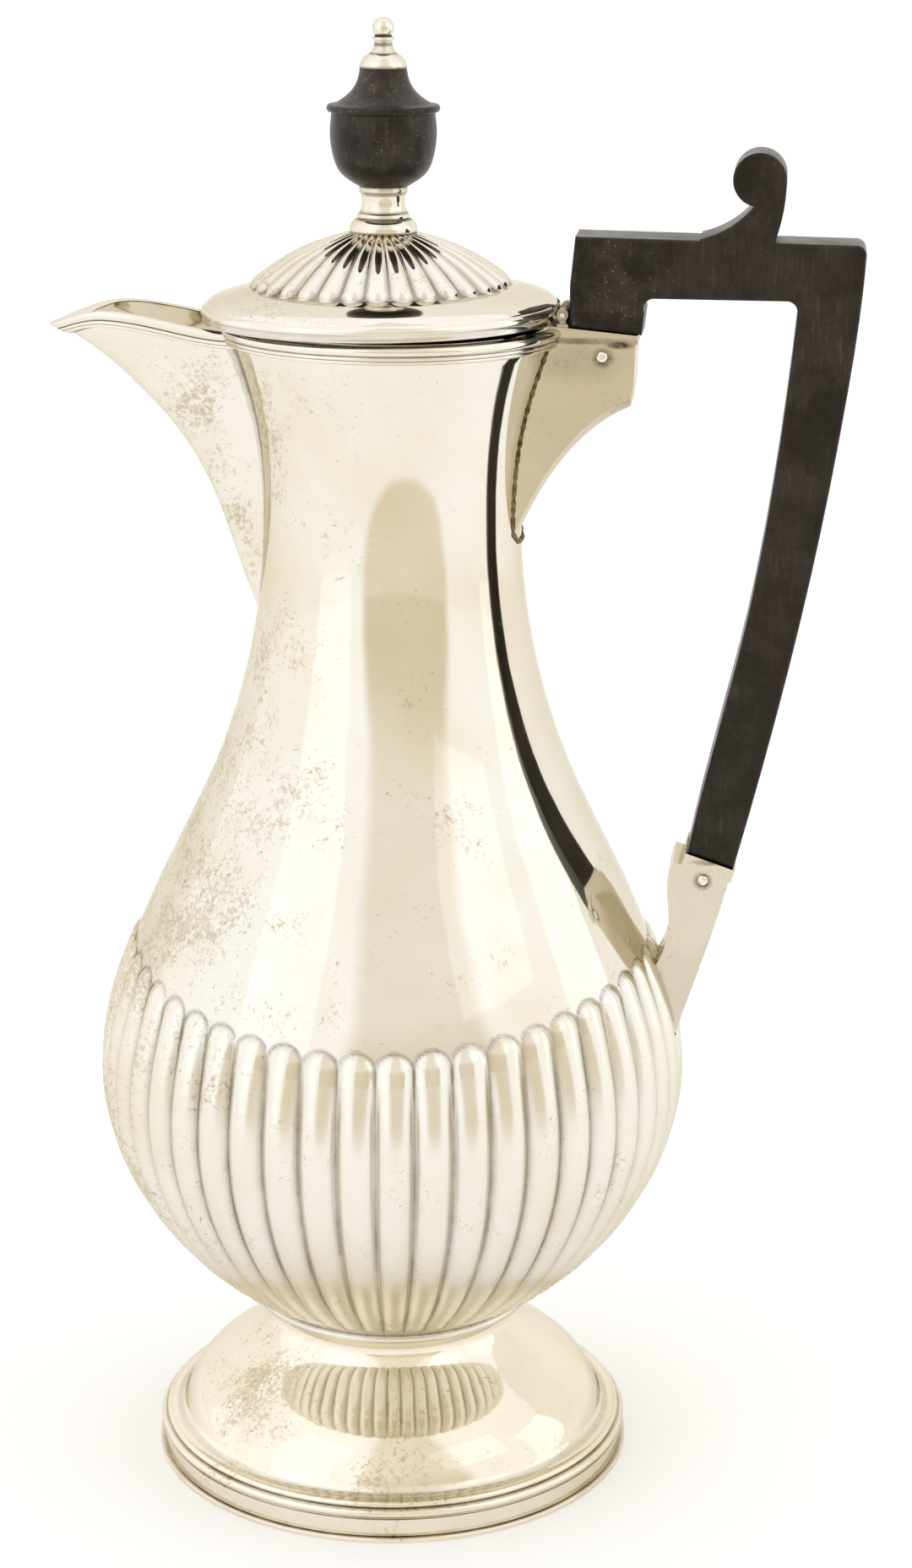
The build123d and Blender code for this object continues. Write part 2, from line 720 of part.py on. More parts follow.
with BuildPart() as lower_socket_collar:
    with BuildSketch(Plane.XZ):
        with BuildLine():
            collar_half = (grip_end_outer[0] - grip_end_inner[0]) / 2 + collar_proud + 0.2
            Polyline(on_grip_end(-collar_half, 0), on_grip_end(collar_half, 0),
                     on_grip_end(collar_half, collar_height),
                     on_grip_end(-collar_half, collar_height), on_grip_end(-collar_half, 0))
        make_face()
    extrude(amount=socket_half + collar_proud, both=True)
    with BuildSketch(Plane.XZ):
        with BuildLine():
            Polyline(on_grip_end(-3.0, -1), on_grip_end(2.6, -1), on_grip_end(2.6, 4), on_grip_end(-3.0, 4),
                     on_grip_end(-3.0, -1))
        make_face()
    extrude(amount=grip_tenon_half + tenon_clearance, both=True, mode=Mode.SUBTRACT)
write(lower_socket_collar.part, "lower_socket_collar")

write(rivet(lower_rivet, lower_rivet_half), "lower_socket_pin")


# Lid: drawn about its own axis, then set on the mouth with its hinge side tipped up.
lid_plane = Plane(origin=(lid_offset, 0, lid_height),
                  x_dir=(cos(radians(lid_tip_up)), 0, sin(radians(lid_tip_up))),
                  z_dir=(-sin(radians(lid_tip_up)), 0, cos(radians(lid_tip_up))))
lid_place = lid_plane.location
dome_curve = Spline(xz(dome_foot), xz(dome_middle), xz(dome_top))


def lid_flute_ring():
    """Flutes of the dome, rounded at the flange and running in under the finial."""
    one = flute(dome_curve, at_radius(dome_curve, lid_flute_start_radius),
                at_radius(dome_curve, lid_flute_end_radius),
                -1, lid_flutes, lid_flute_rise)
    return [one.rotate(Axis.Z, 360 / lid_flutes * (i + 0.5) - 90) for i in range(lid_flutes)]


with BuildPart() as hinge_room:
    with Locations((hinge_x, 0, hinge_z)):
        Cylinder(knuckle_radius + hinge_relief, hinge_length + 4 * knuckle_gap, rotation=(90, 0, 0))
    with Locations((hinge_x + 3 - knuckle_radius - hinge_relief, 0, hinge_z)):
        Box(6, hinge_length + 4 * knuckle_gap, 8)

with BuildPart() as lid_form:
    with BuildSketch(Plane.XZ):
        with BuildLine():
            Polyline((lid_radius, 0.1), (lid_radius, 1.1))
            Spline((lid_radius, 1.1), lid_shoulder, lid_cavetto, dome_foot)
            Spline(dome_foot, dome_middle, dome_top)
            Polyline(dome_top, (0, dome_height), (0, dome_height - lid_sheet),
                     (dome_top[0], dome_top[1] - lid_sheet))
            under = Spline((dome_top[0], dome_top[1] - lid_sheet),
                           (dome_middle[0] - 0.55, dome_middle[1] - 0.85),
                           (dome_foot[0] - 0.6, dome_foot[1] - 0.95))
            Polyline(under @ 1, (lid_cavetto[0] - 0.2, lid_cavetto[1] - lid_sheet),
                     (lid_shoulder[0] - 0.5, lid_shoulder[1] - lid_sheet), (lid_radius - 0.6,
                                                                            0.1), (lid_radius, 0.1))
        make_face()
    revolve(axis=Axis.Z)

with BuildPart() as lid_cover:
    add(lid_form.part)
    add(lid_flute_ring())
lid_cover_placed = lid_cover.part.moved(lid_place)

with BuildPart() as lid_cover_fitted:
    add(lid_cover_placed)
    add(hinge_room.part, mode=Mode.SUBTRACT)
    with BuildSketch(Plane.XY.offset(lid_height)):
        with Locations((finial_x, 0)):
            Circle(rod_radius + rod_clearance)
    extrude(amount=2 * dome_height, mode=Mode.SUBTRACT)
write(lid_cover_fitted.part, "lid_cover")

with BuildPart() as lid_edge:
    with BuildSketch(Plane.XZ):
        with BuildLine():
            Polyline((lid_radius, -lid_edge_drop), (lid_radius + lid_edge_width * 0.75, -lid_edge_drop))
            ThreePointArc((lid_radius + lid_edge_width * 0.75, -lid_edge_drop),
                          (lid_radius + lid_edge_width * 0.7, -lid_edge_drop / 2),
                          (lid_radius + lid_edge_width, -0.2))
            ThreePointArc((lid_radius + lid_edge_width, -0.2), (lid_radius + lid_edge_width * 0.85, 0.5),
                          (lid_radius, 1.1))
            Line((lid_radius, 1.1), (lid_radius, -lid_edge_drop))
        make_face()
    revolve(axis=Axis.Z)

with BuildPart() as lid_edge_fitted:
    add(lid_edge.part.moved(lid_place))
    with Locations((hinge_x, 0, hinge_z)):
        Box(4 * hinge_clear_half, hinge_length + 4 * knuckle_gap, 4 * hinge_clear_half,
            mode=Mode.SUBTRACT)
write(lid_edge_fitted.part, "lid_edge")

with BuildPart() as lid_bezel:
    with BuildSketch(Plane.XY.offset(bezel_bottom)):
        Circle(bezel_radius)
        Circle(bezel_radius - bezel_wall, mode=Mode.SUBTRACT)
    extrude(amount=12)
with BuildPart() as lid_roof:
    with BuildSketch(Plane.XZ):
        with BuildLine():
            Polyline((0, dome_height - lid_sheet), (dome_top[0], dome_top[1] - lid_sheet))
            roof = Spline((dome_top[0], dome_top[1] - lid_sheet),
                          (dome_middle[0] - 0.55, dome_middle[1] - 0.85),
                          (dome_foot[0] - 0.6, dome_foot[1] - 0.95))
            Polyline(roof @ 1, (lid_cavetto[0] - 0.2, lid_cavetto[1] - lid_sheet),
                     (lid_shoulder[0] - 0.5, lid_shoulder[1] - lid_sheet), (lid_radius - 0.6,
                                                                            0.1), (lid_radius, 0.1),
                     (lid_radius, 30), (0, 30), (0, dome_height - lid_sheet))
        make_face()
    revolve(axis=Axis.Z)
lid_roof_placed = lid_roof.part.moved(lid_place)

with BuildPart() as lid_bezel_fitted:
    add(lid_bezel.part)
    add(lid_roof_placed, mode=Mode.SUBTRACT)
write(lid_bezel_fitted.part, "lid_bezel")


# Hinge: three knuckles fixed to the jug, two to the lid, one pin through all five.
knuckle_pitch = (hinge_length + knuckle_gap) / hinge_knuckles
knuckle_length = knuckle_pitch - knuckle_gap


def knuckles(places):
    """Barrels bored for the pin, at numbered places along the hinge."""
    with BuildPart() as barrels:
        for place in places:
            middle = (place - (hinge_knuckles - 1) / 2) * knuckle_pitch
            with Locations((hinge_x, middle, hinge_z)):
                Cylinder(knuckle_radius, knuckle_length, rotation=(90, 0, 0))
    return barrels.part


with BuildPart() as hinge_plate:
    with Locations((hinge_x + 0.05, 0, hinge_plate_top - 0.5)):
        Box(1.9, 2 * socket_half, 1.0)
    for place in (0, 2, 4):
        middle = (place - (hinge_knuckles - 1) / 2) * knuckle_pitch
        with Locations((hinge_x + 0.05, middle, (hinge_plate_top + hinge_z) / 2)):
            Box(1.1, knuckle_length, hinge_z - hinge_plate_top)
    add(knuckles((0, 2, 4)))
    with Locations((hinge_x, 0, hinge_z)):
        Cylinder(hinge_pin_radius + hinge_pin_clearance, hinge_length + 2, rotation=(90, 0, 0),
                 mode=Mode.SUBTRACT)
    add(upper_socket_collar.part, mode=Mode.SUBTRACT)
    add(mouth_ring.part, mode=Mode.SUBTRACT)
write(hinge_plate.part, "hinge_plate")

with BuildPart() as lid_hinge_leaf:
    leaf_front = bezel_radius
    leaf_back = hinge_x - knuckle_radius - hinge_relief
    with Locations(((leaf_front + leaf_back) / 2, 0, hinge_z)):
        Box(leaf_back - leaf_front, hinge_length, 1.3)
    for place in (1, 3):
        middle = (place - (hinge_knuckles - 1) / 2) * knuckle_pitch
        with Locations(((leaf_back + hinge_x) / 2 - 0.05, middle, hinge_z)):
            Box(hinge_x - leaf_back + 0.1, knuckle_length, leaf_thickness)
    add(knuckles((1, 3)))
    with Locations((hinge_x, 0, hinge_z)):
        Cylinder(hinge_pin_radius + hinge_pin_clearance, hinge_length + 2, rotation=(90, 0, 0),
                 mode=Mode.SUBTRACT)
    add(lid_roof_placed, mode=Mode.SUBTRACT)
    add(lid_bezel_fitted.part, mode=Mode.SUBTRACT)
write(lid_hinge_leaf.part, "lid_hinge_leaf")

with BuildPart() as hinge_pin:
    with Locations((hinge_x, 0, hinge_z)):
        Cylinder(hinge_pin_radius, hinge_length + 0.8, rotation=(90, 0, 0))
write(hinge_pin.part, "hinge_pin")


# Finial: a wooden urn between silver mounts, held by a threaded rod from inside the lid.
finial_middle = Location((finial_x, 0, 0))


def turned(form):
    """A turned finial piece bored for the rod and set in its place."""
    with BuildPart() as piece:
        add(form.part)
        Cylinder(rod_radius + rod_clearance, 2 * finial_ring_bottom, mode=Mode.SUBTRACT)
    return piece.part.moved(finial_middle)


with BuildPart() as finial_base_form:
    with BuildSketch(Plane.XZ):
        with BuildLine():
            Line((0, finial_base_bottom), (finial_base_radius, finial_base_bottom))
            ThreePointArc((finial_base_radius, finial_base_bottom),
                          (finial_base_radius - 0.1, finial_base_bottom + 1.9),
                          (finial_cup_seat + 0.6, finial_base_shoulder))
            Polyline((finial_cup_seat + 0.6, finial_base_shoulder),
                     (finial_cup_seat, finial_base_shoulder + 0.15),
                     (finial_cup_seat + 0.15, finial_base_shoulder + 0.9),
                     (finial_cup_seat - 0.15, finial_base_shoulder + 1.2))
            Spline((finial_cup_seat - 0.15, finial_base_shoulder + 1.2), finial_waist,
                   (finial_cup_seat, finial_cup_bottom))
            Polyline((finial_cup_seat, finial_cup_bottom), (0, finial_cup_bottom), (0, finial_base_bottom))
        make_face()
    revolve(axis=Axis.Z)

with BuildPart() as finial_cup_form:
    with BuildSketch(Plane.XZ):
        with BuildLine():
            Spline((finial_cup_seat, finial_cup_bottom), (7.7, 241.4), (8.93, 244.6), finial_cup_belly,
                   (finial_cup_mouth, finial_cup_top))
            Polyline((finial_cup_mouth, finial_cup_top), (0, finial_cup_top), (0, finial_cup_bottom),
                     (finial_cup_seat, finial_cup_bottom))
        make_face()
    revolve(axis=Axis.Z)

with BuildPart() as finial_cover_form:
    with BuildSketch(Plane.XZ):
        with BuildLine():
            cover_rim_top = finial_cup_top + finial_rim_height
            ThreePointArc((finial_rim_radius - 0.3, finial_cup_top),
                          (finial_rim_radius, finial_cup_top + finial_rim_height / 2),
                          (finial_rim_radius - 0.3, cover_rim_top))
            Line((finial_rim_radius - 0.3, cover_rim_top), (finial_rim_radius - 1.5, cover_rim_top + 0.2))
            Spline((finial_rim_radius - 1.5, cover_rim_top + 0.2), (6.2, 254.5), (4.6, 256.7),
                   (finial_cap_radius - 0.1, finial_cap_bottom))
            Polyline((finial_cap_radius - 0.1, finial_cap_bottom), (0, finial_cap_bottom),
                     (0, finial_cup_top),
                     (finial_rim_radius - 0.3, finial_cup_top))
        make_face()
    revolve(axis=Axis.Z)

with BuildPart() as finial_cap_form:
    with BuildSketch(Plane.XZ):
        with BuildLine():
            Line((0, finial_cap_bottom), (finial_cap_radius, finial_cap_bottom))
            ThreePointArc((finial_cap_radius, finial_cap_bottom),
                          (finial_cap_radius - 0.35, finial_cap_bottom + 1.3),
                          (finial_cap_mouth, finial_cap_top))
            Spline((finial_cap_mouth, finial_cap_top), (finial_cap_mouth - 0.65, finial_cap_top + 0.9),
                   (finial_neck_radius, finial_ring_bottom - 0.6))
            Polyline((finial_neck_radius, finial_ring_bottom - 0.6),
                     (finial_neck_radius, finial_ring_bottom),
                     (0, finial_ring_bottom), (0, finial_cap_bottom))
        make_face()
    revolve(axis=Axis.Z)

with BuildPart() as finial_ball:
    with BuildSketch(Plane.XZ):
        with BuildLine():
            ball_foot = finial_ball_centre - 1.15
            Line((0, finial_ring_bottom), (finial_ball_radius, finial_ring_bottom))
            ThreePointArc((finial_ball_radius, finial_ring_bottom),
                          (finial_ball_radius - 0.1, ball_foot - 0.3),
                          (finial_ball_radius - 0.35, ball_foot))
            ball_top = finial_ball_centre + finial_ball_radius
            crown = Spline((finial_ball_radius - 0.35, ball_foot), (finial_ball_radius, finial_ball_centre),
                           (finial_ball_radius * 0.7, ball_top - finial_ball_radius * 0.3), (0.3, ball_top))
            Polyline(crown @ 1, (0, ball_top), (0, finial_ring_bottom))
        make_face()
    revolve(axis=Axis.Z)
    with BuildSketch(Plane.XY.offset(finial_ring_bottom)):
        Circle(rod_radius + rod_clearance)
    extrude(amount=rod_top - finial_ring_bottom, mode=Mode.SUBTRACT)

with BuildPart() as finial_base:
    add(turned(finial_base_form))
    add(lid_cover_placed, mode=Mode.SUBTRACT)

write(finial_base.part, "finial_base")
write(turned(finial_cup_form), "finial_cup")
write(turned(finial_cover_form), "finial_cover")
write(turned(finial_cap_form), "finial_cap")
write(finial_ball.part.moved(finial_middle), "finial_ball")

# Fixing inside the lid: the rod's lower end, a flat washer under the dome and a hexagon nut.
washer_bottom = lid_height + dome_height - lid_sheet - 1.2
nut_bottom = washer_bottom - nut_height

with BuildPart() as finial_rod:
    with BuildSketch(Plane.XY.offset(nut_bottom - 1.2)):
        Circle(rod_radius)
    extrude(amount=rod_top - 0.1 - nut_bottom + 1.2)
write(finial_rod.part.moved(finial_middle), "finial_rod")

with BuildPart() as finial_washer:
    with BuildSketch(Plane.XY.offset(washer_bottom)):
        Circle(washer_radius)
        Circle(rod_radius + rod_clearance, mode=Mode.SUBTRACT)
    extrude(amount=washer_thickness * 3)
    add(lid_roof_placed.moved(finial_middle.inverse()), mode=Mode.SUBTRACT)
write(finial_washer.part.moved(finial_middle), "finial_washer")

with BuildPart() as finial_nut:
    with BuildSketch(Plane.XY.offset(nut_bottom)):
        RegularPolygon(nut_width / 2, 6, major_radius=False)
        Circle(rod_radius + rod_clearance, mode=Mode.SUBTRACT)
    extrude(amount=nut_height)
write(finial_nut.part.moved(finial_middle), "finial_nut")
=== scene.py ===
from math import atan2, cos, exp, hypot, pi, radians, sin, sqrt

import bpy
import numpy as np
from bpy.props import FloatProperty, IntProperty, PointerProperty, StringProperty
from mathutils import Matrix, Vector


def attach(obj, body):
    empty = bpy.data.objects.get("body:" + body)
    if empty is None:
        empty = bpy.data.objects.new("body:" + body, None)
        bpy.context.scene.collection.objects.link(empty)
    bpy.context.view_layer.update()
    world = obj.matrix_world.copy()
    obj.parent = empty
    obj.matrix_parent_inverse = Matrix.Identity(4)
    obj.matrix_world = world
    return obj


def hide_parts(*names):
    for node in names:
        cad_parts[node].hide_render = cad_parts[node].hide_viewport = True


bl_info = {
    "name": "Fluted hot water jug",
    "version": (1, 0, 0),
    "blender": (4, 5, 0),
    "location": "3D View > Sidebar > Jug",
    "description": "Builds the silver, ebony and studio of a fluted hot water jug on its packed frame",
    "category": "Object",
}

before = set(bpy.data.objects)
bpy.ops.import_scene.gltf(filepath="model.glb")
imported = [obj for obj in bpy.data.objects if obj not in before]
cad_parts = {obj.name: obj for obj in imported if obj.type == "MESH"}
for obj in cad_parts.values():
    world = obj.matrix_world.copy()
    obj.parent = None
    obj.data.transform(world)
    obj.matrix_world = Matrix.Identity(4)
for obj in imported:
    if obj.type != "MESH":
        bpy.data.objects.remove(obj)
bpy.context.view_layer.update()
MM = 0.001

# Outlines are (radius, height) and all sizes are in millimetres, from the axis and the foot's underside.
SHEET = 1.2
MOUTH_RADIUS, MOUTH_TOP = 28.9, 215.2
BODY_LINE = [(28.9, 212.6), (25.3, 201.0), (23.1, 181.5), (25.4, 158.0), (32.5, 134.5), (43.7, 111.1),
             (51.7, 87.8), (53.0, 77.0), (51.2, 64.4), (43.4, 48.9), (36.7, 41.1), (26.0, 32.1)]
BOWL_LINE = [(26.0, 32.1), (15.6, 30.5), (3.0, 30.0)]
# A flute's half width as a share of the space between two valleys, here and on the lid.
FLUTE_HALF = 0.4925
BODY_COLUMNS, LID_COLUMNS = 14, 16
FLUTED_BELOW, FLUTES_END, FLUTES_FADE = 112.0, 33.0, 3.0
VALLEY_DEPTH, FLUTE_SWELL = 0.5, 0.35
# A shallow crease round the bulb just over the joint, where it was set down on the foot.
CREASE_HEIGHT, CREASE_WAVE, CREASE_DEPTH, CREASE_WIDTH = 37.7, 0.2, 0.16, 0.45
# How far below its tip a flute turns from mirror polish to the duller chased finish.
CHASED_FROM = 2.5
OUTLINE_POINTS, WALL_ROWS = 1200, 56
# Gap between the body's rows above a height: close together at the flutes' round tops.
ROW_GAPS = ((112.0, 2.0), (86.0, 0.42), (36.0, 1.0), (0.0, 0.7))


class JugSizes(bpy.types.PropertyGroup):
    """Sizes of the silver work that can be changed without moving the solids."""
    body_flutes: IntProperty(name="Body flutes", description="Convex flutes round the bulb",
                             default=48, min=12, max=96)
    lid_flutes: IntProperty(name="Lid flutes", description="Convex flutes on the dome",
                            default=32, min=12, max=64)
    flute_rise: FloatProperty(name="Flute rise", description="Height of a body flute over its own width",
                              default=0.15, min=0.02, max=0.3)
    lid_flute_rise: FloatProperty(name="Lid flute rise", description="Height of a lid flute over its width",
                                  default=0.2, min=0.02, max=0.3)
    flute_top: FloatProperty(name="Flute top", description="Height of the flutes' tops at the front",
                             default=93.2 * MM, unit="LENGTH")
    flute_climb: FloatProperty(name="Flute climb", description="How much higher the tops are at the sides",
                               default=7.0 * MM, unit="LENGTH")


class JugColours(bpy.types.PropertyGroup):
    """Colours of the jug's materials, as sRGB hex values."""
    silver: StringProperty(name="Silver", description="Polished silver", default="E9E5DB")
    silver_warm: StringProperty(name="Warm silver", description="Silver with a thin yellow bloom",
                                default="E1D8C3")
    tarnish: StringProperty(name="Tarnish", description="Brown sulphide speckle", default="AA966C")
    # The crease colour is partly old polish and sulphide in the hollows, partly painted shade in valleys,
    # grooves and joints.
    crease: StringProperty(name="Creases", description="Old polish and sulphide in the valleys",
                           default="54452F")
    ebony: StringProperty(name="Ebony", description="Dark wood of the handle", default="15110E")
    ebony_bloom: StringProperty(name="Ebony bloom", description="Grey bloom and dust in the wood's pores",
                                default="685E57")


def srgb(text):
    """An sRGB hex value as linear red, green, blue and alpha."""
    def channel(value):
        return value / 12.92 if value <= 0.04045 else ((value + 0.055) / 1.055) ** 2.4
    return [channel(int(text[i:i + 2], 16) / 255) for i in (0, 2, 4)] + [1.0]


def add_node(tree, kind, links=None, **settings):
    """A node with its settings and its sockets' values. A linked node gives its first output."""
    node = tree.nodes.new(kind)
    for key, value in settings.items():
        setattr(node, key, value)
    for socket, value in (links or {}).items():
        if isinstance(value, bpy.types.Node):
            value = value.outputs[0]
        if isinstance(value, bpy.types.NodeSocket):
            tree.links.new(value, node.inputs[socket])
        else:
            node.inputs[socket].default_value = value
    return node


# Outlines.
class SmoothCurve:
    """A natural cubic through the values, or the points, at given places."""
    def __init__(self, where, values):
        self.where = np.array(where, float)
        self.values = np.array(values, float)
        gaps = np.diff(self.where)
        count = len(self.where)
        system = np.zeros((count, count))
        system[0, 0] = system[-1, -1] = 1
        right = np.zeros(self.values.shape)
        for i in range(1, count - 1):
            system[i, i - 1:i + 2] = gaps[i - 1], 2 * (gaps[i - 1] + gaps[i]), gaps[i]
            ahead = (self.values[i + 1] - self.values[i]) / gaps[i]
            behind = (self.values[i] - self.values[i - 1]) / gaps[i - 1]
            right[i] = 6 * (ahead - behind)
        self.bends = np.linalg.solve(system, right)

    def __call__(self, spots):
        i = np.clip(np.searchsorted(self.where, spots) - 1, 0, len(self.where) - 2)
        gap = self.where[i + 1] - self.where[i]
        a, b = (self.where[i + 1] - spots) / gap, (spots - self.where[i]) / gap
        if self.values.ndim > 1:
            a, b, gap = a[:, None], b[:, None], gap[:, None]
        return (a * self.values[i] + b * self.values[i + 1]
                + ((a**3 - a) * self.bends[i] + (b**3 - b) * self.bends[i + 1]) * gap**2 / 6)


def lengths(points):
    """How far each point is from the first one, along the line through them."""
    return np.concatenate([[0], np.cumsum(np.hypot(*np.diff(np.array(points, float), axis=0).T))])


def smooth_line(points, count):
    """Points evenly spread along a smooth curve through a few given ones."""
    knots = lengths(points)
    return [tuple(p) for p in SmoothCurve(knots, points)(np.linspace(0, knots[-1], count))]


def arc_line(start, middle, end, count=7):
    """Points along the circle through three given ones."""
    (ax, ay), (bx, by), (cx, cy) = start, middle, end
    d = 2 * (ax * (by - cy) + bx * (cy - ay) + cx * (ay - by))
    ux = ((ax**2 + ay**2) * (by - cy) + (bx**2 + by**2) * (cy - ay) + (cx**2 + cy**2) * (ay - by)) / d
    uy = ((ax**2 + ay**2) * (cx - bx) + (bx**2 + by**2) * (ax - cx) + (cx**2 + cy**2) * (bx - ax)) / d
    radius = hypot(ax - ux, ay - uy)
    first, mid, last = (atan2(y - uy, x - ux) for x, y in (start, middle, end))
    turn = (last - first) % (2 * pi)
    if (mid - first) % (2 * pi) > turn:
        turn -= 2 * pi
    angles = [first + turn * i / (count - 1) for i in range(count)]
    return [(ux + radius * cos(angle), uy + radius * sin(angle)) for angle in angles]


def lobe(across, half, rise, sink=0.12):
    """Height of a round-backed flute at a distance across it."""
    radius = (half**2 + (rise + sink) ** 2) / (2 * (rise + sink))
    return sqrt(max(radius**2 - across**2, 0)) - radius + rise


def ramp(value, start, end):
    """A smooth step from 0 to 1 between two values."""
    t = min(1.0, max(0.0, (value - start) / (end - start)))
    return t * t * (3 - 2 * t)


def from_front(radius, turn, height):
    """A point by its radius, its turn from the front of the jug, and its height."""
    return radius * sin(turn), -radius * cos(turn), height


# Meshes.
def ring_faces(rings, columns, downward=False):
    """Faces between rings of points that follow one another, the last joined to the first."""
    faces = []
    for k in range(rings):
        a, b = k * columns, (k + 1) % rings * columns
        for i in range(columns):
            j = (i + 1) % columns
            faces.append((a + i, b + i, b + j, a + j) if downward else (a + i, a + j, b + j, b + i))
    return faces


def make_piece(name, points, faces, body, material, replaces=(), smooth_angle=40, shade=None,
               chased=None, matrix=None):
    """A smooth-shaded mesh piece on the frame, with optional crease and chasing values at each point."""
    mesh = bpy.data.meshes.new(name)
    mesh.from_pydata([tuple(c * MM for c in p) for p in points], [], faces)
    for attribute, values in (("crease", shade), ("chased", chased)):
        if values is not None:
            mesh.attributes.new(attribute, "FLOAT", "POINT").data.foreach_set("value", values)
    if matrix is not None:
        mesh.transform(matrix)
    mesh.validate()
    mesh.shade_smooth()
    if smooth_angle:
        mesh.set_sharp_from_angle(angle=radians(smooth_angle))
    piece = bpy.data.objects.new(name, mesh)
    bpy.context.scene.collection.objects.link(piece)
    piece.data.materials.append(material)
    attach(piece, body)
    if replaces:
        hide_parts(*replaces)


def turn_piece(name, line, body, material, solid, smooth_angle, marks=None, segments=256,
               centre=(0, 0), matrix=None, hinge_gap=0.0):
    """A piece turned from a closed outline about a vertical axis.

    The marks give how dark the crease is at some points of the outline, by number.
    """
    points, shade = [], []
    for k, (radius, height) in enumerate(line):
        for i in range(segments):
            turn = 2 * pi * i / segments
            points.append((centre[0] + radius * cos(turn), centre[1] + radius * sin(turn), height))
            shade.append((marks or {}).get(k, 0.0))
    faces = ring_faces(len(line), segments)
    if hinge_gap:
        faces = [face for face in faces
                 if points[face[0]][0] <= 0 or abs(sum(points[c][1] for c in face)) / 4 >= hinge_gap]
    make_piece(name, points, faces, body, material, replaces=(solid,), smooth_angle=smooth_angle,
               shade=shade if marks else None, matrix=matrix)


